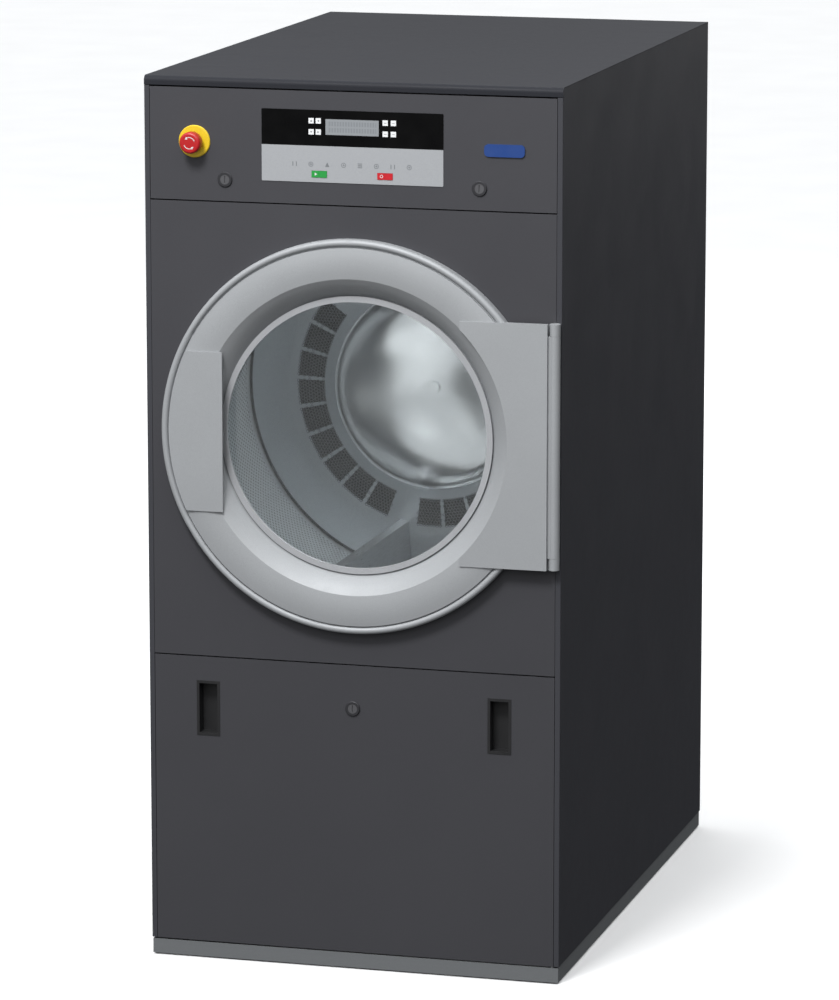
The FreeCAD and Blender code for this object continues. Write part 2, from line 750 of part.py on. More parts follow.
def hinge_plate(ring):
    """Hinge leaf laid over the ring up to the well, with the moving barrel on its right edge."""
    z0 = AXIS_Z - PLATE_HALF_H
    z1 = AXIS_Z + PLATE_HALF_H
    leaf = box(PLATE_X0, PLATE_X1, PLATE_FRONT, PLATE_BACK, z0, z1)
    barrel_z0 = z0 + KNUCKLE_H + RUN_GAP
    barrel_z1 = z1 - KNUCKLE_H - RUN_GAP
    web_front = HINGE_D - BARREL_R + SHEET
    web = box(PLATE_X1, HINGE_X, web_front, PLATE_BACK, barrel_z0, barrel_z1)
    barrel = rod_up(HINGE_X, HINGE_D, BARREL_R, barrel_z0, barrel_z1)
    plate = fuse([leaf, web, barrel])
    pin_hole = rod_up(HINGE_X, HINGE_D, PIN_R + RUN_FIT, z0, z1)
    behind = rod(AXIS_X, AXIS_Z, DOOR_R, FACE_EDGE, 0)
    well = rod(AXIS_X, AXIS_Z, FACE_R0, PLATE_FRONT, 0)
    return plate.cut([pin_hole, behind, well, ring])


def hinge_pins():
    """Fixed end knuckles of the door hinge, each with its pin."""
    pieces = []
    for sign in (-1, 1):
        end = AXIS_Z + sign * PLATE_HALF_H
        inner = end - sign * KNUCKLE_H
        tip = inner - sign * PIN_L
        low, high = min(end, inner), max(end, inner)
        knuckle = rod_up(HINGE_X, HINGE_D, BARREL_R, low, high)
        pin = rod_up(HINGE_X, HINGE_D, PIN_R, min(tip, end), max(tip, end))
        foot = box(HINGE_X - PIN_R, HINGE_X + PIN_R, HINGE_D, 0, low, high)
        pieces.append(fuse([knuckle, pin, foot]))
    return Part.makeCompound(pieces)


def door_handle(ring):
    """Flat grip plate over the left of the ring; its free edge hangs over the well."""
    disc = rod(AXIS_X, AXIS_Z, HANDLE_R, HANDLE_FRONT, HANDLE_BACK)
    z0 = AXIS_Z - HANDLE_HALF_H
    z1 = AXIS_Z + HANDLE_HALF_H
    window = box(AXIS_X - DOOR_R, HANDLE_EDGE_X, HANDLE_FRONT, HANDLE_BACK, z0, z1)
    return disc.common(window).cut(ring)


def door_bezel():
    """Bright ring round the glass."""
    ring = tube(AXIS_X, AXIS_Z, WELL_R, BEZEL_R, BEZEL_D0, GLASS_D0)
    return ring.cut(rod(AXIS_X, AXIS_Z, DOOR_R, FACE_CROWN, BEZEL_D0))


def door_glass():
    """Round pane behind the bezel."""
    return rod(AXIS_X, AXIS_Z, WELL_R, GLASS_D0, GLASS_D0 + GLASS_T)


def door_gasket():
    """Rubber ring between the door and the front panel."""
    seal = tube(AXIS_X, AXIS_Z, GASKET_R1, GASKET_R0, FACE_EDGE + DOOR_WALL, -RUN_GAP)
    groove_r = (GASKET_R0 + GASKET_R1) / 2.0
    groove = tube(AXIS_X, AXIS_Z, groove_r + SHEET, groove_r - SHEET, -RETURN / 2.0, -RUN_GAP)
    return seal.cut(groove)


def door_keeper():
    """Catch block on the front panel that holds the door shut and senses it."""
    x0 = AXIS_X - KEEPER_R - KEEPER_W / 2.0
    half = KEEPER_H / 2.0
    return box(x0, x0 + KEEPER_W, -KEEPER_T, 0, AXIS_Z - half, AXIS_Z + half)


# ---- fascia -----------------------------------------------------------------------------------
def key_block(x, grow):
    """Space of a start or stop key, grown on each side."""
    half = KEY_W / 2.0 + grow
    half_h = KEY_H / 2.0 + grow
    return box(x - half, x + half, KEY_FRONT, KEY_BACK, KEY_Z - half_h, KEY_Z + half_h)


def press_key(x):
    """Key cap with a fine groove down the middle."""
    half = KEY_GROOVE / 2.0
    groove = box(x - half, x + half, KEY_FRONT, KEY_FRONT + half, KEY_Z - KEY_H, KEY_Z + KEY_H)
    return key_block(x, 0).cut(groove)


def fascia_panel():
    """Control panel front, hung from two pins at its top corners."""
    panel = pan(-PANEL_HALF, PANEL_HALF, FASCIA_Z0, FASCIA_Z1)
    cuts = [key_block(x, KEY_CLEAR) for x in (START_X, STOP_X)]
    cuts.append(rod(ESTOP_X, ESTOP_Z, ESTOP_BODY_R, 0, SHEET))
    for side in (-1, 1):
        cuts.append(rod(side * LOCK_X, LOCK_Z, LOCK_TUBE_R, 0, SHEET))
    pin_r = FASCIA_PIN_R + RUN_FIT
    cuts.append(rod_across(FASCIA_AXIS_D, FASCIA_AXIS_Z, pin_r, -INNER_HALF, INNER_HALF))
    return panel.cut(cuts)


def fascia_pins():
    """Two side pins that the fascia swings on."""
    pins = []
    for side in (-1, 1):
        xa = side * INNER_HALF
        xb = xa - side * FASCIA_PIN_L
        x0, x1 = min(xa, xb), max(xa, xb)
        pins.append(rod_across(FASCIA_AXIS_D, FASCIA_AXIS_Z, FASCIA_PIN_R, x0, x1))
    return Part.makeCompound(pins)


def keypad_overlay():
    """Sealed film keypad with raised pads, cut out for the display and the two large keys."""
    film = rounded_plate(OVERLAY_X0, OVERLAY_X1, -OVERLAY_T, 0, OVERLAY_Z0, OVERLAY_Z1, OVERLAY_CORNER)
    cuts = [key_block(x, KEY_CLEAR) for x in (START_X, STOP_X)]
    cuts.append(box(LCD_X0, LCD_X1, -OVERLAY_T, 0, LCD_Z0, LCD_Z1))
    film = film.cut(cuts)
    pads = []
    half = PAD_SIZE / 2.0
    for x in PAD_LEFT_X + PAD_RIGHT_X:
        for z in PAD_Z:
            pads.append(box(x - half, x + half, -OVERLAY_T - PAD_H, -OVERLAY_T, z - half, z + half))
    return fuse([film] + pads)


def lcd_window():
    """Clear pane of the display."""
    return box(LCD_X0, LCD_X1, -LCD_T, 0, LCD_Z0, LCD_Z1)


def badge():
    """Plain rounded badge plate."""
    return rounded_plate(BADGE_X0, BADGE_X1, -BADGE_T, 0, BADGE_Z0, BADGE_Z1, BADGE_CORNER)


def estop_base():
    """Yellow disc and switch body of the emergency stop."""
    disc = rod(ESTOP_X, ESTOP_Z, ESTOP_DISC_R, -ESTOP_DISC_T, 0)
    disc = disc.makeChamfer(SHEET, [disc.Edges[i] for i in front_edges(disc)])
    body = rod(ESTOP_X, ESTOP_Z, ESTOP_BODY_R, 0, ESTOP_BODY_D)
    bore = rod(ESTOP_X, ESTOP_Z, ESTOP_STEM_R + RUN_FIT, -ESTOP_DISC_T, ESTOP_STEM_BACK + ESTOP_DISC_T * 2)
    return fuse([disc, body]).cut(bore)


def front_edges(shape):
    """Indices of the closed edges that lie on the foremost face of a round piece."""
    y_min = shape.BoundBox.YMin
    found = []
    for i, edge in enumerate(shape.Edges):
        if edge.BoundBox.YMax < y_min + RUN_FIT:
            found.append(i)
    return found


def estop_stem():
    """Sliding stem of the emergency stop."""
    return rod(ESTOP_X, ESTOP_Z, ESTOP_STEM_R, ESTOP_STEM_FRONT, ESTOP_STEM_BACK)


def estop_head():
    """Mushroom head that turns on the stem to release."""
    head = rod(ESTOP_X, ESTOP_Z, ESTOP_HEAD_R, -ESTOP_REACH, ESTOP_HEAD_BACK)
    head = head.makeFillet(ESTOP_HEAD_ROUND, [head.Edges[i] for i in front_edges(head)])
    socket_front = ESTOP_STEM_FRONT - ESTOP_CAP_GAP
    return head.cut(rod(ESTOP_X, ESTOP_Z, ESTOP_STEM_R + RUN_FIT, socket_front, ESTOP_HEAD_BACK))


# ---- quarter-turn locks -----------------------------------------------------------------------
def lock_barrel(x, z):
    """Fixed sleeve and collar of a lock."""
    collar = rod(x, z, LOCK_COLLAR_R, -LOCK_COLLAR_T, 0)
    collar = collar.makeChamfer(PANEL_GAP, [collar.Edges[i] for i in front_edges(collar)])
    sleeve = rod(x, z, LOCK_TUBE_R, 0, LOCK_TUBE_D)
    bore = rod(x, z, LOCK_PLUG_R + RUN_FIT, -LOCK_COLLAR_T, LOCK_TUBE_D)
    return fuse([collar, sleeve]).cut(bore)


def lock_plug(x, z, reach):
    """Turning plug with a key slot in front and a cam behind, drawn unlocked."""
    plug = rod(x, z, LOCK_PLUG_R, LOCK_PLUG_FRONT, CAM_D1)
    half = CAM_W / 2.0
    far = x + reach
    cam = box(min(x, far), max(x, far), CAM_D0, CAM_D1, z - half, z + half)
    slot_half = SLOT_W / 2.0
    depth = LOCK_PLUG_FRONT + SLOT_DEPTH
    slot_h = LOCK_PLUG_R - SLOT_W
    slot = box(x - slot_half, x + slot_half, LOCK_PLUG_FRONT, depth, z - slot_h, z + slot_h)
    return fuse([plug, cam]).cut(slot)


# ---- lint drawer ------------------------------------------------------------------------------
def grip_box(side, grow, d0, d1):
    """Space of one finger pocket, grown on each side."""
    x0 = side * GRIP_X - GRIP_W / 2.0 - grow
    x1 = side * GRIP_X + GRIP_W / 2.0 + grow
    return box(x0, x1, d0, d1, GRIP_Z0 - grow, GRIP_Z1 + grow)


def drawer_front():
    """Lower front panel with two finger pockets and a lock hole."""
    panel = pan(-PANEL_HALF, PANEL_HALF, DRAWER_Z0, DRAWER_Z1)
    cuts = [grip_box(side, GRIP_T, 0, SHEET) for side in (-1, 1)]
    cuts.append(rod(0, DRAWER_LOCK_Z, LOCK_TUBE_R, 0, SHEET))
    return panel.cut(cuts)


def drawer_grips():
    """Two moulded finger pockets."""
    cups = []
    for side in (-1, 1):
        lip = grip_box(side, GRIP_T + GRIP_LIP, -GRIP_LIP_T, 0)
        wall = grip_box(side, GRIP_T, 0, GRIP_DEPTH)
        hollow = grip_box(side, 0, -GRIP_LIP_T, GRIP_DEPTH - GRIP_T)
        cups.append(fuse([lip, wall]).cut(hollow))
    return Part.makeCompound(cups)


def lint_screen():
    """Lint tray behind the drawer front: four walls and a screen floor."""
    outer = box(-TRAY_HALF, TRAY_HALF, SHEET, TRAY_D1, TRAY_Z0, TRAY_Z1)
    d0, d1 = 2 * SHEET, TRAY_D1 - SHEET
    half = TRAY_HALF - SHEET
    inner = box(-half, half, d0, d1, TRAY_Z0 + SHEET, TRAY_Z1)
    return outer.cut(inner)


def drawer_rails():
    """Two fixed angles that the tray slides on."""
    z1 = TRAY_Z0 - RUN_GAP
    z0 = z1 - SHELF_T
    shelf = box(SHELF_X0, INNER_HALF, SHELF_D0, SHELF_D1, z0, z1)
    wall = box(INNER_HALF - SHELF_T, INNER_HALF, SHELF_D0, SHELF_D1, z1, z1 + SHELF_WALL_H)
    right = fuse([shelf, wall])
    return Part.makeCompound([right, mirrored(right)])


# ---- heater, fan and exhaust ------------------------------------------------------------------
def heater_box():
    """Closed sheet box of the heater on the back of the bulkhead."""
    d0 = BULKHEAD_D0 + BULKHEAD_T
    outer = box(-HEATER_X, HEATER_X, d0, HEATER_D1, HEATER_Z0, HEATER_Z1)
    x = HEATER_X - SHEET
    inner = box(-x, x, d0 + SHEET, HEATER_D1 - SHEET, HEATER_Z0 + SHEET, HEATER_Z1 - SHEET)
    return outer.cut(inner)


def fan_volume(inset):
    """Solid volume of the fan scroll and its outlet, inset from the outer faces."""
    scroll = rod(FAN_X, FAN_Z, FAN_HOUSING_R - inset, FAN_D0 + inset, FAN_D1 - inset)
    x0, x1 = DUCT_X0 + inset, DUCT_X1 - inset
    z0, z1 = DUCT_Z0 + inset, DUCT_Z1 - inset
    across = box(x0, FAN_X, FAN_D0 + inset, FAN_D1 - inset, z0, z1)
    out = box(x0, x1, FAN_D0 + inset, REAR - SHEET, z0, z1)
    return fuse([scroll, across, out])


def fan_housing():
    """Sheet scroll with a front inlet and a duct back to the rear panel."""
    shell = fan_volume(0).cut(fan_volume(FAN_WALL))
    inlet = rod(FAN_X, FAN_Z, FAN_INLET_R, FAN_D0, FAN_D0 + FAN_WALL)
    shaft_hole = rod(FAN_X, FAN_Z, FAN_SHAFT_HOLE_R, FAN_D1 - FAN_WALL, FAN_D1)
    return shell.cut([inlet, shaft_hole])


def fan_wheel():
    """Bladed wheel in one piece with its shaft."""
    hub = rod(FAN_X, FAN_Z, FAN_HUB_R, FAN_WHEEL_D1 - FAN_HUB_R, FAN_WHEEL_D1)
    back = rod(FAN_X, FAN_Z, FAN_WHEEL_R, FAN_WHEEL_D1 - FAN_PLATE_T, FAN_WHEEL_D1)
    r_in = FAN_WHEEL_R - FAN_BLADE_L
    front = tube(FAN_X, FAN_Z, FAN_WHEEL_R, r_in, FAN_WHEEL_D0, FAN_WHEEL_D0 + FAN_PLATE_T)
    shaft = rod(FAN_X, FAN_Z, FAN_SHAFT_R, FAN_WHEEL_D1 - FAN_HUB_R, FAN_D1 + FAN_SHAFT_IN)
    parts = [hub, back, front, shaft]
    half = FAN_PLATE_T / 2.0
    for i in range(FAN_BLADES):
        x0 = FAN_X + r_in + FAN_PLATE_T
        x1 = FAN_X + FAN_WHEEL_R - FAN_PLATE_T
        blade = box(x0, x1, FAN_WHEEL_D0 + half, FAN_WHEEL_D1 - half, FAN_Z - half, FAN_Z + half)
        parts.append(spun(blade, FAN_X, FAN_Z, i * FULL_TURN / FAN_BLADES))
    return fuse(parts)


def fan_motor():
    """Fan motor on the back of the scroll, with a bore for the wheel's shaft."""
    body = motor_body(FAN_X, FAN_Z, FAN_MOTOR_R, FAN_D1, FAN_MOTOR_D1)
    bore_d1 = FAN_D1 + FAN_SHAFT_IN + RUN_GAP
    return body.cut(rod(FAN_X, FAN_Z, FAN_SHAFT_R + RUN_FIT, FAN_D1, bore_d1))


def exhaust_collar():
    """Round spigot for the exhaust duct, with a stiffening bead and a flange."""
    end = REAR + COLLAR_REACH
    barrel = rod(COLLAR_X, COLLAR_Z, COLLAR_R, REAR, end)
    flange = rod(COLLAR_X, COLLAR_Z, COLLAR_FLANGE_R, REAR, REAR + COLLAR_T)
    outer = fuse([barrel, flange])
    return outer.cut(rod(COLLAR_X, COLLAR_Z, COLLAR_R - COLLAR_T, REAR, end))


def control_box():
    """Electrical box hung under the top."""
    outer = box(CONTROL_X0, CONTROL_X1, CONTROL_D0, CONTROL_D1, CONTROL_Z0, TOP_UNDER)
    x0, x1 = CONTROL_X0 + SHEET, CONTROL_X1 - SHEET
    inner = box(x0, x1, CONTROL_D0 + SHEET, CONTROL_D1 - SHEET, CONTROL_Z0 + SHEET, TOP_UNDER - SHEET)
    return outer.cut(inner)


def cable_gland():
    """Supply cable gland in the rear panel, with hexagon nuts outside and inside."""
    body = rod(GLAND_X, GLAND_Z, GLAND_R, GLAND_FRONT, REAR + GLAND_REACH)
    nuts = []
    for d0 in (REAR, REAR - SHEET - GLAND_NUT_T):
        corners = []
        for i in range(HEX_SIDES + 1):
            a = 2.0 * math.pi * i / HEX_SIDES
            x = GLAND_X + GLAND_NUT_R * math.cos(a)
            corners.append(Vector(x, Y_FRONT + d0, GLAND_Z + GLAND_NUT_R * math.sin(a)))
        face = Part.Face(Part.makePolygon(corners))
        nuts.append(face.extrude(Vector(0, GLAND_NUT_T, 0)))
    bore = rod(GLAND_X, GLAND_Z, GLAND_BORE_R, GLAND_FRONT, REAR + GLAND_REACH)
    return fuse([body] + nuts).cut(bore)


# ---- all pieces -------------------------------------------------------------------------------
def build_cabinet():
    """Base, panels and everything fixed to them."""
    screws = panel_screws()
    rail = base_rail_right()
    side = side_panel_right(screws)
    save("base_rail_right", rail)
    save("base_rail_left", mirrored(rail))
    save("plinth_strip", plinth_strip())
    save("levelling_feet", levelling_feet())
    save("side_panel_right", side)
    save("side_panel_left", mirrored(side))
    save("top_panel", top_panel())
    save("front_panel", front_panel())
    save("rear_panel", rear_panel(screws))
    save("panel_screws", screws)
    save("throat_ring", throat_ring())
    save("throat_felt", throat_felt())
    save("rear_bulkhead", rear_bulkhead())
    save("door_keeper", door_keeper())
    save("hinge_pins", hinge_pins())
    save("fascia_pins", fascia_pins())
    save("drawer_rails", drawer_rails())
    save("control_box", control_box())
    save("cable_gland", cable_gland())


def build_machinery():
    """Drum, drive, heater and fan."""
    save("drum_shell", drum_shell())
    save("drum_back", drum_back())
    for name, angle in zip(("lifter_a", "lifter_b", "lifter_c"), LIFTER_ANGLES):
        save(name, lifter(angle))
    save("drum_shaft", drum_shaft())
    save("hub_bolt", hub_bolt())
    save("drum_pulley", drum_pulley())
    save("bearing_housing", bearing_housing())
    save("bearings", bearings())
    save("drive_motor", drive_motor())
    save("motor_pulley", motor_pulley())
    save("drum_belt", drum_belt())
    save("heater_box", heater_box())
    save("fan_housing", fan_housing())
    save("fan_wheel", fan_wheel())
    save("fan_motor", fan_motor())
    save("exhaust_collar", exhaust_collar())


def build_front():
    """Door, fascia, locks and lint drawer."""
    ring = door_ring()
    save("door_ring", ring)
    save("hinge_plate", hinge_plate(ring))
    save("door_handle", door_handle(ring))
    save("door_bezel", door_bezel())
    save("door_glass", door_glass())
    save("door_gasket", door_gasket())
    save("fascia_panel", fascia_panel())
    save("keypad_overlay", keypad_overlay())
    save("lcd_window", lcd_window())
    save("badge", badge())
    save("start_key", press_key(START_X))
    save("stop_key", press_key(STOP_X))
    save("estop_base", estop_base())
    save("estop_stem", estop_stem())
    save("estop_head", estop_head())
    barrels = [lock_barrel(side * LOCK_X, LOCK_Z) for side in (-1, 1)]
    save("fascia_lock_barrels", Part.makeCompound(barrels))
    save("lock_left", lock_plug(-LOCK_X, LOCK_Z, CAM_L_FASCIA))
    save("lock_right", lock_plug(LOCK_X, LOCK_Z, -CAM_L_FASCIA))
    save("drawer_front", drawer_front())
    save("drawer_grips", drawer_grips())
    save("drawer_lock_barrel", lock_barrel(0, DRAWER_LOCK_Z))
    save("lock_drawer", lock_plug(0, DRAWER_LOCK_Z, CAM_L_DRAWER))
    save("lint_screen", lint_screen())


build_cabinet()
build_machinery()
build_front()
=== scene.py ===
import math

import bmesh
import bpy
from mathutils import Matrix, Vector


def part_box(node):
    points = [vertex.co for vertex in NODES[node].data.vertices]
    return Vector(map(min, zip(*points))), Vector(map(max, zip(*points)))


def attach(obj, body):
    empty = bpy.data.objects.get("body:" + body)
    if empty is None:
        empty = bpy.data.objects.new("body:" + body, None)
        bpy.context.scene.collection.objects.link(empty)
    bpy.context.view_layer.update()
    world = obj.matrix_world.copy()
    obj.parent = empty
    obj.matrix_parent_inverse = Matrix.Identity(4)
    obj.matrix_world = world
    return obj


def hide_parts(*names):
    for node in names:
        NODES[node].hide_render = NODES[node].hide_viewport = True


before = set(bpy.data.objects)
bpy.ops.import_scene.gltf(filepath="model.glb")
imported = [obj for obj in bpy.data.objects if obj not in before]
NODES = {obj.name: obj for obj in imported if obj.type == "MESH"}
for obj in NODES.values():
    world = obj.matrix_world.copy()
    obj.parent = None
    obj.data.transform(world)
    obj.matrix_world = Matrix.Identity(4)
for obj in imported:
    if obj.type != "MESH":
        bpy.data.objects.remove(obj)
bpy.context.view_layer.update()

# ---- places read from the frame, in metres ------------------------------------------------------
FRONT_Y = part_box("front_panel")[0].y
REAR_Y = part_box("rear_panel")[1].y
DRUM_LOW, DRUM_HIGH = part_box("drum_shell")
AXIS_X = (DRUM_LOW.x + DRUM_HIGH.x) / 2
AXIS_Z = (DRUM_LOW.z + DRUM_HIGH.z) / 2
BACK_Y = DRUM_HIGH.y

# ---- drum ---------------------------------------------------------------------------------------
DRUM_R = 0.375              # inside radius of the drum wall
CORNER_SHADE_WIDE = 0.0062        # painted shade, a dark line where the wall meets the back
WALL_PITCH = 0.0095         # pitch and radius of the wall's small holes
WALL_HOLE = 0.0020
PLAIN_FRONT = 0.11          # plain strips at the mouth and at the back
PLAIN_REAR = 0.02
POLISHED_R = 0.2            # polished centre of the drum back
LOBES = 3                   # pressed lobes of the drum back, and their phase in radians
LOBE_PHASE = 2.6
BACK_THICK = 0.0012
GROUP_ANGLE = 196.4         # middle of the first group of ports, degrees
GROUP_STEP = 120            # from one group of ports to the next, degrees
PORTS = 9                   # ports in a group
PORT_STEP = 12.1            # from one port to the next, degrees
PORT_HALF = 5.85            # half the angle of a port, degrees
PORT_R = 0.248              # middle radius of the ports
PORT_DEEP = 0.029           # half the radial depth of a port
PORT_PITCH = 0.0064         # pitch and radius of the holes in a port's screen
PORT_HOLE = 0.0026
HOLE_ROWS = 10
HOLE_SIDE = 6               # widest count of holes to each side of a port's middle
SCREEN_Y = (BACK_Y - 0.0009, BACK_Y - 0.0001)

# ---- control panel ------------------------------------------------------------------------------
BAND_Z = 1.555              # where the black half of the film meets the grey half
PAD_FRONT = 0.0003          # the film's surface is pad, not ground, within this of its front
CELL_WIDE = 0.0052          # one character cell of the display
CELL_HIGH = 0.0115
CELL_SIDE = 0.004           # plain border of the display
CELL_EDGE = 0.003
SYMBOLS = 8                 # printed symbols on the grey half
SYMBOL_X = -0.108
SYMBOL_STEP = 0.0311
SYMBOL_Z = 1.521
SYMBOL_OUT = 0.0012         # the film stands this far in front of the fascia
PAD_LEFT = (-0.076, -0.0625)
PAD_RIGHT = (0.0645, 0.080)
PAD_ROWS = (1.601, 1.5806)
PAD_TURNS = (0, 90, 180, 270)
SYMBOL_INK = 0.00012        # thickness of each print
MARK_INK = 0.0001
THIN_INK = 0.00008
ARROW_STARTS = (20, 200)    # the emergency stop's arrows, degrees
ARROW_SWEEP = 95
ARROW_TIP = 122

# ---- rear panel ---------------------------------------------------------------------------------
LOUVRE_X = 0.170            # middle of each louvre field, and half the length of a hood
LOUVRE_HALF = 0.098
LOUVRE_Z = 1.330
LOUVRE_STEP = 0.020
LOUVRE_ROWS = 12
HOOD_FOOT = 0.001
HOOD_OUT = 0.007
HOOD_HIGH = 0.010
HOOD_STEPS = 8
SCREW_X = 0.3855
SCREW_Z = 0.090
SCREW_STEP = 0.385
SCREW_ROWS = 5
SLOT_LONG = 0.0030          # half the length and width of one arm of a screw's cross
SLOT_WIDE = 0.0005

# ---- stage --------------------------------------------------------------------------------------
FLOOR_HALF = 40.0
SKY_TOP = 1.2               # strength of the surround overhead, at the left and at the front
SKY_LEFT = 0.22
SKY_FRONT = 0.10
SKY_COLOR = (0.97, 0.985, 1.0, 1)
LAMP_PLACE = (AXIS_X, FRONT_Y + 0.045, AXIS_Z + 0.17)
LIGHTS = (                  # name, place, target, size, watts
    ("key", (-0.5, -3.5, 4.6), (0, -0.5, 1.2), 1.1, 190),
    ("front", (0.6, -7.0, 3.4), (0, 0, 1.4), 3.5, 65),
    ("back", (1.6, 7.0, 3.2), (0, 0.6, 0.9), 2.5, 190),
)
CAMERA_PLACE = (2.655, FRONT_Y - 9.165, 2.750)
CAMERA_DOWN = 10.98         # degrees below level
CAMERA_TURN = 15.41         # degrees from the front
FOCAL_PIXELS = 5258
PICTURE_HIGH = 1000
SENSOR = 36.0


SHARP_ANGLE = 35            # an edge is sharp above this angle, degrees
SOFT_EDGES = {              # rounding of edges
    "door_handle": 0.0012, "hinge_plate": 0.0012, "badge": 0.0008, "start_key": 0.0004,
    "stop_key": 0.0004, "door_bezel": 0.0015, "drawer_grips": 0.0005, "hinge_pins": 0.0008,
    "fascia_lock_barrels": 0.0006, "drawer_lock_barrel": 0.0006,
}


# ---- shader helpers -----------------------------------------------------------------------------
class Shader:
    """A Principled material that is built up node by node."""

    def __init__(self, name, color, rough=0.5, metal=0.0):
        self.material = bpy.data.materials.new(name)
        self.material.use_nodes = True
        self.tree = self.material.node_tree
        self.bsdf = self.tree.nodes["Principled BSDF"]
        self.bsdf.inputs["Base Color"].default_value = (*color, 1)
        self.bsdf.inputs["Roughness"].default_value = rough
        self.bsdf.inputs["Metallic"].default_value = metal
        self.place = self.node("ShaderNodeTexCoord").outputs["Object"]

    def node(self, kind, **settings):
        made = self.tree.nodes.new(kind)
        for key, value in settings.items():
            setattr(made, key, value)
        return made

    def feed(self, socket, value):
        if isinstance(value, bpy.types.NodeSocket):
            self.tree.links.new(value, socket)
        else:
            socket.default_value = value

    def math(self, operation, a, b=0.0, clamp=False):
        made = self.node("ShaderNodeMath", operation=operation, use_clamp=clamp)
        self.feed(made.inputs[0], a)
        self.feed(made.inputs[1], b)
        return made.outputs[0]

    def axes(self):
        made = self.node("ShaderNodeSeparateXYZ")
        self.feed(made.inputs[0], self.place)
        return made.outputs

    def stretched(self, x, y, z):
        made = self.node("ShaderNodeMapping")
        made.inputs["Scale"].default_value = (x, y, z)
        self.feed(made.inputs["Vector"], self.place)
        return made.outputs[0]

    def noise(self, scale, detail=2.0, vector=None, rough=0.5):
        made = self.node("ShaderNodeTexNoise")
        made.inputs["Scale"].default_value = scale
        made.inputs["Detail"].default_value = detail
        made.inputs["Roughness"].default_value = rough
        self.feed(made.inputs["Vector"], vector or self.place)
        return made.outputs[0]

    def spread(self, value, low, high, from_low=0.3, from_high=0.7):
        made = self.node("ShaderNodeMapRange")
        self.feed(made.inputs["Value"], value)
        made.inputs["From Min"].default_value = from_low
        made.inputs["From Max"].default_value = from_high
        made.inputs["To Min"].default_value = low
        made.inputs["To Max"].default_value = high
        return made.outputs[0]

    def mix(self, factor, a, b):
        made = self.node("ShaderNodeMix", data_type="RGBA")
        self.feed(made.inputs[0], factor)
        self.feed(made.inputs[6], (*a, 1) if isinstance(a, tuple) else a)
        self.feed(made.inputs[7], (*b, 1) if isinstance(b, tuple) else b)
        return made.outputs[2]

    def color(self, value):
        self.feed(self.bsdf.inputs["Base Color"], value)
        return self

    def rough(self, value):
        self.feed(self.bsdf.inputs["Roughness"], value)
        return self

    def bump(self, height, strength, distance):
        made = self.node("ShaderNodeBump")
        made.inputs["Strength"].default_value = strength
        made.inputs["Distance"].default_value = distance
        self.feed(made.inputs["Height"], height)
        self.feed(self.bsdf.inputs["Normal"], made.outputs[0])
        return self

    def set(self, **values):
        for key, value in values.items():
            self.bsdf.inputs[key.replace("_", " ")].default_value = value
        return self


def shade(color, factor):
    """A colour made lighter or darker."""
    return tuple(min(1.0, c * factor) for c in color)


def powder_coat(name, color, rough, gloss=0.3):
    """Fine orange-peel paint with slight handling marks."""
    s = Shader(name, color, rough)
    grain = s.noise(1600, 3)
    cloud = s.noise(1.4, 2)
    fine = s.mix(s.spread(grain, 0, 1), shade(color, 0.84), shade(color, 1.16))
    s.color(s.mix(s.spread(cloud, 0.0, 0.22), fine, shade(color, 1.2)))
    smear = s.noise(9, 5, rough=0.65)
    s.rough(s.spread(smear, rough - 0.03, rough + 0.06))
    s.bump(s.noise(850, 2), 0.22, 0.0003)
    s.set(Specular_IOR_Level=gloss)
    return s.material


def satin_metal(name, color, rough, metal):
    """Metallic paint or satin pressing with a sparkle of flakes."""
    s = Shader(name, color, rough, metal)
    flakes = s.noise(1100, 2)
    cloud = s.noise(6, 3)
    tone = s.mix(s.spread(flakes, 0, 1), shade(color, 0.9), shade(color, 1.1))
    s.color(s.mix(s.spread(cloud, 0, 0.3), tone, shade(color, 0.88)))
    s.rough(s.spread(s.noise(14, 4), rough - 0.04, rough + 0.07))
    s.bump(s.noise(700, 2), 0.12, 0.0002)
    return s.material


def brushed(name, color, rough, along):
    """Steel with fine drawn lines along one axis."""
    s = Shader(name, color, rough, 1.0)
    lines = s.noise(1.0, 3, s.stretched(*along))
    cloud = s.noise(5, 4)
    s.color(s.mix(s.spread(lines, 0, 1), shade(color, 0.82), shade(color, 1.12)))
    drawn = s.spread(lines, rough - 0.06, rough + 0.08)
    s.rough(s.math("ADD", drawn, s.spread(cloud, 0.0, 0.08)))
    s.bump(lines, 0.15, 0.0002)
    return s.material


def galvanised(name, color):
    """Zinc sheet with its patchy crystals."""
    s = Shader(name, color, 0.42, 0.35)
    cells = s.node("ShaderNodeTexVoronoi", feature="F1")
    cells.inputs["Scale"].default_value = 70
    s.feed(cells.inputs["Vector"], s.place)
    tone = s.node("ShaderNodeSeparateXYZ")
    s.feed(tone.inputs[0], cells.outputs["Color"])
    s.color(s.mix(tone.outputs[0], shade(color, 0.9), shade(color, 1.07)))
    s.rough(s.spread(tone.outputs[1], 0.32, 0.52, 0, 1))
    s.bump(s.noise(300, 3), 0.1, 0.0003)
    return s.material


def moulded(name, color, rough, scale, coat=0.0, depth=0.12):
    """Moulded plastic or rubber with a fine grain."""
    s = Shader(name, color, rough)
    grain = s.noise(scale, 3)
    dark, pale = shade(color, 1 - depth), shade(color, 1 + depth)
    s.color(s.mix(s.spread(grain, 0, 1), dark, pale))
    s.rough(s.spread(s.noise(40, 4), rough - 0.05, rough + 0.08))
    s.bump(grain, depth, 0.0002)
    s.set(Coat_Weight=coat)
    return s.material


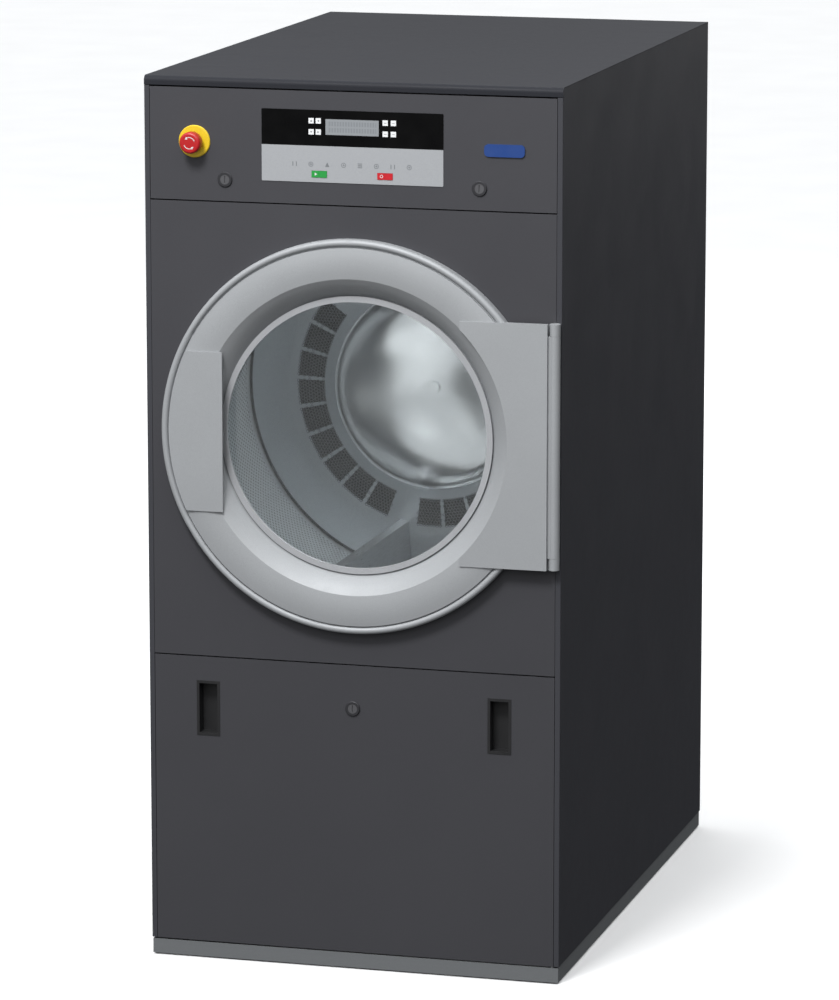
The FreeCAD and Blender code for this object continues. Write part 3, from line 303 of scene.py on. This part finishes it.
def felt(name, color):
    """Pressed wool with loose fibres."""
    s = Shader(name, color, 0.95)
    fibre = s.noise(260, 8, s.stretched(3, 1, 1), 0.75)
    s.color(s.mix(s.spread(fibre, 0, 1), shade(color, 0.6), shade(color, 1.3)))
    s.bump(fibre, 0.7, 0.001)
    s.set(Sheen_Weight=0.5)
    return s.material


def hex_dots(s, u, v, pitch, radius):
    """1 inside staggered round holes, 0 between them; u and v are lengths along the sheet."""
    row = pitch * math.sqrt(3)
    best = None
    for shift in (0.0, 0.5):
        du = s.math("ADD", s.math("DIVIDE", u, pitch), shift)
        dv = s.math("ADD", s.math("DIVIDE", v, row), shift)
        cu = s.math("MULTIPLY", s.math("SUBTRACT", s.math("FRACT", du), 0.5), pitch)
        cv = s.math("MULTIPLY", s.math("SUBTRACT", s.math("FRACT", dv), 0.5), row)
        square = s.math("ADD", s.math("MULTIPLY", cu, cu), s.math("MULTIPLY", cv, cv))
        dist = s.math("SQRT", square)
        best = dist if best is None else s.math("MINIMUM", best, dist)
    edge = s.math("DIVIDE", s.math("SUBTRACT", radius, best), 0.0004)
    return s.math("ADD", edge, 0.5, clamp=True)


def polar(s):
    """Angle and radius about the drum axis."""
    x, _, z = s.axes()
    dx = s.math("SUBTRACT", x, AXIS_X)
    dz = s.math("SUBTRACT", z, AXIS_Z)
    angle = s.math("ARCTAN2", dz, dx)
    square = s.math("ADD", s.math("MULTIPLY", dx, dx), s.math("MULTIPLY", dz, dz))
    return angle, s.math("SQRT", square)


def between(s, value, low, high, soft=0.0008):
    """1 where the value lies between two numbers, with a soft edge."""
    up = s.math("DIVIDE", s.math("SUBTRACT", value, low), soft, clamp=True)
    down = s.math("DIVIDE", s.math("SUBTRACT", high, value), soft, clamp=True)
    return s.math("MULTIPLY", up, down)


def drum_wall_material():
    """Stainless drum wall with rows of small holes painted dark as the shade seen through them,
    plain near the mouth.
    """
    color = (0.72, 0.75, 0.77)
    s = Shader("drum_wall", color, 0.4, 0.65)
    angle, radius = polar(s)
    _, y, _ = s.axes()
    around = s.math("MULTIPLY", angle, DRUM_R)
    holes = hex_dots(s, around, y, WALL_PITCH, WALL_HOLE)
    zone = between(s, y, DRUM_LOW.y + PLAIN_FRONT, BACK_Y - PLAIN_REAR)
    wall = s.math("GREATER_THAN", radius, DRUM_R - 0.003)
    mask = s.math("MULTIPLY", s.math("MULTIPLY", holes, zone), wall)
    lines = s.noise(1.0, 3, s.stretched(30, 700, 30))
    sheet = s.mix(s.spread(lines, 0, 1), shade(color, 0.88), shade(color, 1.08))
    # painted shade: the holes are darkened to near black, the shade seen through them
    s.color(s.mix(s.math("MULTIPLY", mask, 0.75), sheet, (0.03, 0.033, 0.037)))
    s.rough(s.math("ADD", s.spread(lines, 0.36, 0.48), s.math("MULTIPLY", mask, 0.4)))
    s.bump(s.math("SUBTRACT", s.math("MULTIPLY", lines, 0.05), mask), 0.6, 0.0008)
    return s.material


def drum_back_material():
    """Stainless drum back: plain rim, air ports in three arcs painted near black as the shade of
    the ducts behind them, a band of painted shade in the corner at the wall, polished centre.
    """
    color = (0.39, 0.412, 0.435)
    s = Shader("drum_back", color, 0.3, 1.0)
    angle, radius = polar(s)
    degrees = s.math("ADD", s.math("MULTIPLY", angle, 180 / math.pi), 540 - GROUP_ANGLE)
    third = s.math("FRACT", s.math("DIVIDE", degrees, GROUP_STEP))
    in_group = s.math("SUBTRACT", s.math("MULTIPLY", third, GROUP_STEP), GROUP_STEP / 2)
    group = between(s, in_group, -PORTS / 2 * PORT_STEP, PORTS / 2 * PORT_STEP, 0.1)
    step = s.math("FRACT", s.math("ADD", s.math("DIVIDE", in_group, PORT_STEP), 0.5))
    side = s.math("MULTIPLY", s.math("ABSOLUTE", s.math("SUBTRACT", step, 0.5)), PORT_STEP)
    wide = s.math("LESS_THAN", side, PORT_HALF - 0.7)
    band = between(s, radius, PORT_R - PORT_DEEP + 0.003, PORT_R + PORT_DEEP - 0.003)
    port = s.math("MULTIPLY", s.math("MULTIPLY", group, wide), band)
    polish = s.noise(1.0, 3, s.stretched(260, 260, 260))
    sheet = s.mix(s.spread(polish, 0, 1), shade(color, 0.94), shade(color, 1.04))
    centre = s.math("LESS_THAN", radius, POLISHED_R)
    sheet = s.mix(s.math("MULTIPLY", centre, 0.8), sheet, (0.58, 0.58, 0.59))
    # painted shade: a dark band in the corner where the wall meets the back
    corner = s.math("GREATER_THAN", radius, DRUM_R - CORNER_SHADE_WIDE)
    # painted shade: the port areas are painted near black as the shade of the ducts behind the
    # screens, joined by the corner band
    dark = s.math("MAXIMUM", port, s.math("MULTIPLY", corner, 0.85))
    s.color(s.mix(dark, sheet, (0.012, 0.014, 0.016)))
    plain = s.math("SUBTRACT", 0.38, s.math("MULTIPLY", centre, 0.16))
    s.rough(s.math("ADD", plain, s.math("MULTIPLY", dark, 0.4)))
    s.bump(polish, 0.05, 0.0003)
    return s.material


def keypad_material():
    """Printed film: black above, light grey below, white raised pads."""
    s = Shader("keypad_print", (0.01, 0.01, 0.012), 0.32)
    _, y, z = s.axes()
    grain = s.noise(900, 2)
    grey = s.mix(s.spread(grain, 0, 1), (0.31, 0.32, 0.335), (0.36, 0.37, 0.385))
    black = s.mix(s.spread(grain, 0, 1), (0.0012, 0.0012, 0.0014), (0.0028, 0.0028, 0.003))
    low = s.math("LESS_THAN", z, BAND_Z)
    pad = s.math("LESS_THAN", y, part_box("keypad_overlay")[0].y + PAD_FRONT)
    s.color(s.mix(pad, s.mix(low, black, grey), (0.72, 0.73, 0.74)))
    s.rough(s.spread(s.noise(30, 4), 0.26, 0.4))
    s.bump(grain, 0.03, 0.0001)
    s.set(Specular_IOR_Level=0.12)
    return s.material


def display_material():
    """Pale display pane with two faint lines of blank cells."""
    s = Shader("display_pane", (0.5, 0.53, 0.55), 0.18)
    x, _, z = s.axes()
    low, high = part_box("lcd_window")
    part_x = s.math("FRACT", s.math("DIVIDE", s.math("SUBTRACT", x, low.x), CELL_WIDE))
    foot = s.math("SUBTRACT", z, low.z + CELL_EDGE)
    part_z = s.math("FRACT", s.math("DIVIDE", foot, CELL_HIGH))
    cell_x = between(s, part_x, 0.15, 0.85, 0.05)
    cell_z = between(s, part_z, 0.12, 0.88, 0.03)
    area_x = between(s, x, low.x + CELL_SIDE, high.x - CELL_SIDE)
    area_z = between(s, z, low.z + CELL_EDGE, high.z - CELL_EDGE)
    inside = s.math("MULTIPLY", cell_x, cell_z)
    cells = s.math("MULTIPLY", inside, s.math("MULTIPLY", area_x, area_z))
    s.color(s.mix(cells, (0.255, 0.27, 0.285), (0.21, 0.225, 0.24)))
    s.rough(s.spread(s.noise(60, 3), 0.15, 0.25))
    s.set(Coat_Weight=0.6)
    return s.material


def glass_material():
    """Clear pane with a trace of green and a few wipe marks."""
    s = Shader("door_pane", (0.92, 0.95, 0.95), 0.02)
    s.rough(s.spread(s.noise(7, 5, rough=0.7), 0.01, 0.05))
    s.set(Transmission_Weight=1.0, IOR=1.45)
    return s.material


def worn_cast(name, color):
    """Painted casting with a coarse skin."""
    s = Shader(name, color, 0.55, 0.2)
    skin = s.noise(420, 5)
    s.color(s.mix(s.spread(skin, 0, 1), shade(color, 0.75), shade(color, 1.25)))
    s.rough(s.spread(s.noise(30, 4), 0.48, 0.66))
    s.bump(skin, 0.5, 0.0006)
    return s.material


def floor_material():
    """Pale studio floor with a very faint texture."""
    s = Shader("floor_pale", (0.9, 0.9, 0.9), 0.6)
    tone = s.noise(3, 4)
    s.color(s.mix(s.spread(tone, 0, 1), (0.89, 0.89, 0.89), (0.92, 0.92, 0.92)))
    s.bump(s.noise(200, 3), 0.05, 0.0005)
    return s.material


MATERIALS = {
    "front": powder_coat("front_coat", (0.050, 0.050, 0.056), 0.42),
    "side": powder_coat("side_coat", (0.050, 0.051, 0.058), 0.46, 0.15),
    "lid": powder_coat("lid_coat", (0.024, 0.025, 0.030), 0.42, 0.06),
    "base": powder_coat("base_coat", (0.15, 0.157, 0.163), 0.45),
    "ring": satin_metal("ring_silver", (0.345, 0.357, 0.37), 0.55, 0.2),
    "bezel": satin_metal("bright_bezel", (0.50, 0.51, 0.53), 0.34, 0.4),
    "zinc": galvanised("zinc_sheet", (0.40, 0.41, 0.42)),
    "steel": brushed("turned_steel", (0.52, 0.52, 0.53), 0.28, (300, 40, 300)),
    "drum": brushed("drum_sheet", (0.60, 0.61, 0.63), 0.3, (700, 30, 700)),
    "drum_wall": drum_wall_material(),
    "port": satin_metal("port_sheet", (0.085, 0.09, 0.095), 0.42, 0.7),
    "drum_back": drum_back_material(),
    "glass": glass_material(),
    "rubber": moulded("black_rubber", (0.018, 0.018, 0.019), 0.62, 900),
    "felt": felt("wool_felt", (0.30, 0.29, 0.27)),
    "plastic": moulded("black_plastic", (0.012, 0.012, 0.013), 0.5, 1600),
    "keypad": keypad_material(),
    "display": display_material(),
    "badge": moulded("badge_enamel", (0.013, 0.048, 0.20), 0.35, 700, 0.0, 0.03),
    "yellow": moulded("yellow_plastic", (0.72, 0.50, 0.02), 0.32, 1800, 0.2),
    "red": moulded("red_plastic", (0.42, 0.010, 0.012), 0.34, 1800, 0.15),
    "green_key": moulded("green_key", (0.02, 0.28, 0.05), 0.35, 2000),
    "red_key": moulded("red_key", (0.50, 0.012, 0.02), 0.35, 2000),
    "lock": satin_metal("lock_grey", (0.06, 0.06, 0.066), 0.34, 0.6),
    "core": satin_metal("lock_core", (0.16, 0.16, 0.17), 0.3, 0.6),
    "cast": worn_cast("cast_paint", (0.09, 0.10, 0.11)),
    "motor": worn_cast("motor_paint", (0.05, 0.08, 0.13)),
    "ink": moulded("print_ink", (0.16, 0.17, 0.18), 0.5, 2000),
    "white_ink": moulded("white_ink", (0.62, 0.62, 0.62), 0.5, 2000),
    "floor": floor_material(),
}

NODE_FINISH = {
    "front": "front_panel fascia_panel drawer_front",
    "side": "side_panel_left side_panel_right",
    "lid": "top_panel",
    "base": "base_rail_left base_rail_right plinth_strip",
    "ring": "door_ring hinge_plate door_handle hinge_pins",
    "bezel": "door_bezel",
    "zinc": "rear_panel throat_ring rear_bulkhead heater_box exhaust_collar fan_housing "
            "drawer_rails control_box fan_wheel",
    "steel": "levelling_feet panel_screws bearings fascia_pins drum_shaft motor_pulley",
    "drum": "lifter_a lifter_b lifter_c lint_screen",
    "drum_wall": "drum_shell",
    "drum_back": "hub_bolt",
    "glass": "door_glass",
    "rubber": "drum_belt door_gasket",
    "felt": "throat_felt",
    "plastic": "cable_gland door_keeper drawer_grips estop_stem",
    "keypad": "keypad_overlay",
    "display": "lcd_window",
    "badge": "badge",
    "yellow": "estop_base",
    "red": "estop_head",
    "green_key": "start_key",
    "red_key": "stop_key",
    "lock": "fascia_lock_barrels drawer_lock_barrel",
    "core": "lock_left lock_right lock_drawer",
    "cast": "bearing_housing drum_pulley",
    "motor": "fan_motor drive_motor",
}


def paint(obj, material):
    """One material over the whole object."""
    obj.data.materials.clear()
    obj.data.materials.append(material)


def soften(obj, width):
    """Rounded edges that catch the light."""
    bevel = obj.modifiers.new("edges", "BEVEL")
    bevel.width = width
    bevel.segments = 2
    bevel.limit_method = "ANGLE"
    bevel.angle_limit = math.radians(SHARP_ANGLE)
    normals = obj.modifiers.new("normals", "WEIGHTED_NORMAL")
    normals.keep_sharp = True


for finish, names in NODE_FINISH.items():
    for name in names.split():
        paint(NODES[name], MATERIALS[finish])


# ---- mesh helpers -------------------------------------------------------------------------------
def piece(name, bm, material, body, smooth=SHARP_ANGLE):
    """A finished mesh object that rides on a body."""
    bmesh.ops.recalc_face_normals(bm, faces=bm.faces)
    mesh = bpy.data.meshes.new(name)
    bm.to_mesh(mesh)
    bm.free()
    mesh.materials.append(material)
    obj = bpy.data.objects.new(name, mesh)
    bpy.context.scene.collection.objects.link(obj)
    if smooth:
        mesh.shade_smooth()
        mesh.set_sharp_from_angle(angle=math.radians(smooth))
    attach(obj, body)
    return obj


def rectangle(x0, z0, x1, z1):
    """Outline of a rectangle in the front view."""
    return [(x0, z0), (x1, z0), (x1, z1), (x0, z1)]


def plate(bm, outline, y0, y1):
    """Closed prism of a front-view outline between two Y values."""
    front = [bm.verts.new((x, y0, z)) for x, z in outline]
    back = [bm.verts.new((x, y1, z)) for x, z in outline]
    count = len(outline)
    bm.faces.new(front)
    bm.faces.new(back[::-1])
    for i in range(count):
        j = (i + 1) % count
        bm.faces.new((front[i], front[j], back[j], back[i]))


def band(bm, cx, cz, r_in, r_out, a0, a1, y0, y1):
    """Flat arc band in the front view; angles in degrees."""
    steps = 24
    outer, inner = [], []
    for i in range(steps + 1):
        a = math.radians(a0 + (a1 - a0) * i / steps)
        outer.append((cx + r_out * math.cos(a), cz + r_out * math.sin(a)))
        inner.append((cx + r_in * math.cos(a), cz + r_in * math.sin(a)))
    for i in range(steps):
        plate(bm, [outer[i], outer[i + 1], inner[i + 1], inner[i]], y0, y1)
    bmesh.ops.remove_doubles(bm, verts=bm.verts, dist=1e-7)


def lathe(bm, profile, base, cx, cz):
    """Closed surface of revolution about a Y axis from (radius, rise before base, lobe) points."""
    steps = 192
    rings = []
    for r, rise, lobe in profile:
        y = base - rise
        ring = []
        for i in range(steps):
            a = 2 * math.pi * i / steps
            lift = lobe * math.cos(LOBES * a + LOBE_PHASE)
            ring.append(bm.verts.new((cx + r * math.cos(a), y + lift, cz + r * math.sin(a))))
        rings.append(ring)
    for first, second in zip(rings, rings[1:]):
        for i in range(steps):
            j = (i + 1) % steps
            bm.faces.new((first[i], first[j], second[j], second[i]))
    bm.faces.new(rings[0])
    bm.faces.new(rings[-1][::-1])


# ---- drum back relief ---------------------------------------------------------------------------
def make_drum_back():
    """Pressed drum back: raised polished disc, a ring bead and a plain rim."""
    profile = [
        (0.013, 0.002, 0.0), (0.03, 0.0026, 0.0), (0.06, 0.005, 0.0006),
        (0.09, 0.008, 0.0028), (0.12, 0.0105, 0.005), (0.15, 0.0115, 0.005),
        (0.172, 0.0105, 0.0026), (0.184, 0.0085, 0.0006), (0.191, 0.0055, 0.0),
        (0.194, 0.002, 0.0), (0.197, 0.0003, 0.0), (0.205, 0.0, 0.0), (0.215, 0.0, 0.0),
        (0.28, 0.0, 0.0), (0.29, 0.0015, 0.0), (0.30, 0.002, 0.0), (0.36, 0.002, 0.0),
        (0.368, 0.001, 0.0), (0.3745, 0.0, 0.0), (0.3745, -BACK_THICK, 0.0),
        (0.19, -BACK_THICK, 0.0), (0.013, -BACK_THICK, 0.0),
    ]
    bm = bmesh.new()
    lathe(bm, profile, BACK_Y, AXIS_X, AXIS_Z)
    relief = piece("drum_back_relief", bm, MATERIALS["drum_back"], "drum", 50)
    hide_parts("drum_back")


def port_cells():
    """Hole places of one port: (sideways, outwards) pairs on a staggered grid."""
    cells = []
    for row in range(HOLE_ROWS):
        out = (row - (HOLE_ROWS - 1) / 2) * PORT_PITCH * math.sqrt(3) / 2
        half = (PORT_R + out) * math.tan(math.radians(PORT_HALF)) - PORT_PITCH / 2
        for column in range(-HOLE_SIDE, HOLE_SIDE + 1):
            side = (column + row % 2 / 2) * PORT_PITCH
            if abs(side) <= half:
                cells.append((side, out))
    return cells


def make_port_screen():
    """Perforated screens over the drum back's ports, a closed sheet with a real hole per cell."""
    bm = bmesh.new()
    turns = [math.radians(30 + 60 * k) for k in range(6)]
    y0, y1 = SCREEN_Y
    reach = PORT_PITCH / math.sqrt(3)
    for port in range(3 * PORTS):
        group, place = divmod(port, PORTS)
        a = math.radians(GROUP_ANGLE + GROUP_STEP * group + (place - PORTS // 2) * PORT_STEP)
        ca, sa = math.cos(a), math.sin(a)
        shared, rims = {}, {}

        def pair(u, v):
            x = AXIS_X + (PORT_R + v) * ca - u * sa
            z = AXIS_Z + (PORT_R + v) * sa + u * ca
            return bm.verts.new((x, y0, z)), bm.verts.new((x, y1, z))

        for u, v in port_cells():
            outer, inner = [], []
            for t in turns:
                corner = (u + reach * math.cos(t), v + reach * math.sin(t))
                key = (round(corner[0], 5), round(corner[1], 5))
                if key not in shared:
                    shared[key] = pair(*corner)
                outer.append(shared[key])
                inner.append(pair(u + PORT_HOLE * math.cos(t), v + PORT_HOLE * math.sin(t)))
            for k in range(6):
                j = (k + 1) % 6
                bm.faces.new((outer[k][0], outer[j][0], inner[j][0], inner[k][0]))
                bm.faces.new((outer[j][1], outer[k][1], inner[k][1], inner[j][1]))
                bm.faces.new((inner[k][0], inner[j][0], inner[j][1], inner[k][1]))
                edge = (outer[k], outer[j])
                rims.setdefault(frozenset(edge), []).append(edge)
        for uses in rims.values():
            if len(uses) == 1:
                first, second = uses[0]
                bm.faces.new((first[0], second[0], second[1], first[1]))
    piece("port_screens", bm, MATERIALS["port"], "drum", 0)


# ---- printed marks ------------------------------------------------------------------------------
def icon_outlines(kind, cx, cz, r):
    """Simple shapes as lists of closed outlines: bars, a triangle, lines or a diamond."""
    if kind == 0:
        return [rectangle(cx - r, cz - r, cx - r * 0.6, cz + r),
                rectangle(cx + r * 0.6, cz - r, cx + r, cz + r)]
    if kind == 1:
        return [[(cx - r, cz - r), (cx + r, cz - r), (cx, cz + r)]]
    if kind == 2:
        return [rectangle(cx - r, cz - 0.25 * r, cx + r, cz + 0.25 * r),
                rectangle(cx - r, cz - r, cx + r, cz - 0.6 * r),
                rectangle(cx - r, cz + 0.6 * r, cx + r, cz + r)]
    return [[(cx, cz - r), (cx + r, cz), (cx, cz + r), (cx - r, cz)]]


def make_icons():
    """Row of eight small printed programme symbols on the grey band."""
    bm = bmesh.new()
    y1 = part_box("fascia_panel")[0].y - SYMBOL_OUT
    y0 = y1 - SYMBOL_INK
    for i in range(SYMBOLS):
        cx = SYMBOL_X + i * SYMBOL_STEP
        kind, size = i // 2 % 3, 0.0042
        if i % 2:
            band(bm, cx, SYMBOL_Z, 0.0034, 0.0046, 0, 360, y0, y1)
            kind, size = 3, 0.002
        for outline in icon_outlines(kind, cx, SYMBOL_Z, size):
            plate(bm, outline, y0, y1)
    piece("programme_symbols", bm, MATERIALS["ink"], "fascia", 0)


def make_key_marks():
    """White marks on the start key and the stop key."""
    for node, body, name in (("start_key", "start_button", "start_mark"),
                             ("stop_key", "stop_button", "stop_mark")):
        low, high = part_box(node)
        cx, cz = (low.x + high.x) / 2, (low.z + high.z) / 2
        y1 = low.y
        y0 = y1 - MARK_INK
        bm = bmesh.new()
        if name == "start_mark":
            left = cx - 0.0085
            plate(bm, [(left, cz - 0.003), (left, cz + 0.003), (cx - 0.0038, cz)], y0, y1)
        else:
            band(bm, cx - 0.0065, cz, 0.0020, 0.0030, 0, 360, y0, y1)
        piece(name, bm, MATERIALS["white_ink"], body, 0)


def make_pad_marks():
    """Arrows and signs on the eight small pads."""
    y1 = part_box("keypad_overlay")[0].y
    y0 = y1 - MARK_INK
    bm = bmesh.new()
    arrow = [(-0.002, -0.0016), (0.002, -0.0016), (0, 0.0022)]
    left = [(cx, cz) for cz in PAD_ROWS for cx in PAD_LEFT]
    for turn, (cx, cz) in zip(PAD_TURNS, left):
        ca, sa = math.cos(math.radians(turn)), math.sin(math.radians(turn))
        outline = [(cx + x * ca - z * sa, cz + x * sa + z * ca) for x, z in arrow]
        plate(bm, outline, y0, y1)
    for cz in PAD_ROWS:
        for cx in PAD_RIGHT:
            sign = rectangle(cx - 0.0026, cz - 0.0004, cx + 0.0026, cz + 0.0004)
            plate(bm, sign, y0, y1)
    piece("pad_marks", bm, MATERIALS["ink"], "fascia", 0)


def make_estop_arrows():
    """Two white turning arrows on the emergency stop's head."""
    low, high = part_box("estop_head")
    cx, cz = (low.x + high.x) / 2, (low.z + high.z) / 2
    y1 = low.y
    y0 = y1 - THIN_INK
    bm = bmesh.new()
    for start in ARROW_STARTS:
        band(bm, cx, cz, 0.0098, 0.0112, start, start + ARROW_SWEEP, y0, y1)
        head = []
        for r, turn in ((0.0078, ARROW_SWEEP), (0.0132, ARROW_SWEEP), (0.0105, ARROW_TIP)):
            a = math.radians(start + turn)
            head.append((cx + r * math.cos(a), cz + r * math.sin(a)))
        plate(bm, head, y0, y1)
    piece("estop_arrows", bm, MATERIALS["white_ink"], "estop_knob", 0)


# ---- rear details -------------------------------------------------------------------------------
def make_louvre_hoods():
    """Pressed hoods over the air slots of the rear panel."""
    bm = bmesh.new()
    for column in (-1, 1):
        for row in range(LOUVRE_ROWS):
            z = LOUVRE_Z + row * LOUVRE_STEP
            x0, x1 = column * LOUVRE_X - LOUVRE_HALF, column * LOUVRE_X + LOUVRE_HALF
            arch = []
            for i in range(HOOD_STEPS + 1):
                a = math.pi / 2 * i / HOOD_STEPS
                high = z + HOOD_FOOT + HOOD_HIGH * math.sin(a)
                arch.append((REAR_Y + HOOD_OUT * math.cos(a), high))
            inner = [(REAR_Y + (y - REAR_Y) * 0.82, z + HOOD_FOOT + (h - z - HOOD_FOOT) * 0.9)
                     for y, h in arch]
            loop = arch + inner[::-1]
            left = [bm.verts.new((x0, y, h)) for y, h in loop]
            right = [bm.verts.new((x1, y, h)) for y, h in loop]
            count = len(loop)
            for i in range(count):
                j = (i + 1) % count
                bm.faces.new((left[i], left[j], right[j], right[i]))
            for side in (left, right):
                for i in range(HOOD_STEPS):
                    bm.faces.new((side[i], side[i + 1], side[count - 2 - i], side[count - 1 - i]))
    piece("louvre_hoods", bm, MATERIALS["zinc"], "cabinet")


def make_screw_recess_shade():
    """Painted shade of the cross recesses in the rear screws: thin dark crosses laid on the screw
    heads.
    """
    bm = bmesh.new()
    y0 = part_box("panel_screws")[1].y
    for side in (-1, 1):
        for row in range(SCREW_ROWS):
            cx, cz = side * SCREW_X, SCREW_Z + row * SCREW_STEP
            for w, h in ((SLOT_LONG, SLOT_WIDE), (SLOT_WIDE, SLOT_LONG)):
                plate(bm, rectangle(cx - w, cz - h, cx + w, cz + h), y0, y0 + THIN_INK)
    piece("screw_recess_shade", bm, MATERIALS["plastic"], "cabinet", 0)


make_drum_back()
make_port_screen()
make_icons()
make_key_marks()
make_pad_marks()
make_estop_arrows()
make_louvre_hoods()
make_screw_recess_shade()


# ---- edges --------------------------------------------------------------------------------------
for name, width in SOFT_EDGES.items():
    soften(NODES[name], width)


# ---- stage --------------------------------------------------------------------------------------
def make_floor():
    """Pale floor that reaches far past the machine."""
    bm = bmesh.new()
    square = rectangle(-FLOOR_HALF, -FLOOR_HALF, FLOOR_HALF, FLOOR_HALF)
    bm.faces.new([bm.verts.new((x, y, 0)) for x, y in square])
    mesh = bpy.data.meshes.new("floor")
    bm.to_mesh(mesh)
    bm.free()
    mesh.materials.append(MATERIALS["floor"])
    obj = bpy.data.objects.new("floor", mesh)
    bpy.context.scene.collection.objects.link(obj)
    obj.visible_glossy = False
    obj.visible_diffuse = False


def area_light(name, place, target, size, power):
    """Soft square light aimed at a point."""
    data = bpy.data.lights.new(name, "AREA")
    data.energy = power
    data.size = size
    obj = bpy.data.objects.new(name, data)
    obj.location = place
    obj.rotation_mode = "QUATERNION"
    obj.rotation_quaternion = (Vector(target) - Vector(place)).to_track_quat("-Z", "Y")
    bpy.context.scene.collection.objects.link(obj)
    return obj


def make_lights():
    """Soft key above the front, weak fills in front and behind, and a lamp in the drum's mouth."""
    for light in LIGHTS:
        area_light(*light)
    lamp = area_light("drum_lamp", LAMP_PLACE, (AXIS_X, 0, AXIS_Z - 0.1), 0.16, 1.8)
    lamp.visible_camera = False
    lamp.visible_glossy = False
    lamp.visible_transmission = False
    make_sky()


def make_sky():
    """Studio surround: bright overhead, fair at the left front, dark at the right and the back.

    The backdrop itself is pale wherever it is seen directly or through glass.
    """
    world = bpy.data.worlds.new("studio")
    world.use_nodes = True
    tree = world.node_tree
    background = tree.nodes["Background"]
    axes = tree.nodes.new("ShaderNodeSeparateXYZ")
    tree.links.new(tree.nodes.new("ShaderNodeTexCoord").outputs["Generated"], axes.inputs[0])
    overhead = sky_ramp(tree, axes.outputs[2], 0.2, 0.55, SKY_TOP)
    left = sky_ramp(tree, axes.outputs[0], 0.35, -0.75, SKY_LEFT)
    front = sky_ramp(tree, axes.outputs[1], 0.2, -0.8, SKY_FRONT)
    level = sky_math(tree, "ADD", sky_math(tree, "ADD", left, front), overhead)
    rays = tree.nodes.new("ShaderNodeLightPath").outputs
    seen = sky_math(tree, "MAXIMUM", rays["Is Camera Ray"], rays["Is Transmission Ray"])
    tree.links.new(sky_math(tree, "MAXIMUM", level, seen), background.inputs["Strength"])
    background.inputs["Color"].default_value = SKY_COLOR
    bpy.context.scene.world = world


def sky_math(tree, operation, a, b):
    """One sum or choice of two values in the surround."""
    made = tree.nodes.new("ShaderNodeMath")
    made.operation = operation
    tree.links.new(a, made.inputs[0])
    tree.links.new(b, made.inputs[1])
    return made.outputs[0]


def sky_ramp(tree, value, start, end, level):
    """Light that grows smoothly from nothing to a level as a direction turns."""
    ramp = tree.nodes.new("ShaderNodeMapRange")
    ramp.interpolation_type = "SMOOTHSTEP"
    tree.links.new(value, ramp.inputs["Value"])
    ramp.inputs["From Min"].default_value = start
    ramp.inputs["From Max"].default_value = end
    ramp.inputs["To Min"].default_value = 0.0
    ramp.inputs["To Max"].default_value = level
    return ramp.outputs[0]


def make_camera():
    """Camera at the viewing angle of the reference view."""
    data = bpy.data.cameras.new("camera")
    data.sensor_width = SENSOR
    data.lens = FOCAL_PIXELS / PICTURE_HIGH * SENSOR
    data.clip_end = 200
    obj = bpy.data.objects.new("camera", data)
    obj.location = CAMERA_PLACE
    obj.rotation_euler = (math.radians(90 - CAMERA_DOWN), 0, math.radians(CAMERA_TURN))
    bpy.context.scene.collection.objects.link(obj)
    bpy.context.scene.camera = obj


make_floor()
make_lights()
make_camera()
bpy.context.scene.view_settings.view_transform = "Standard"
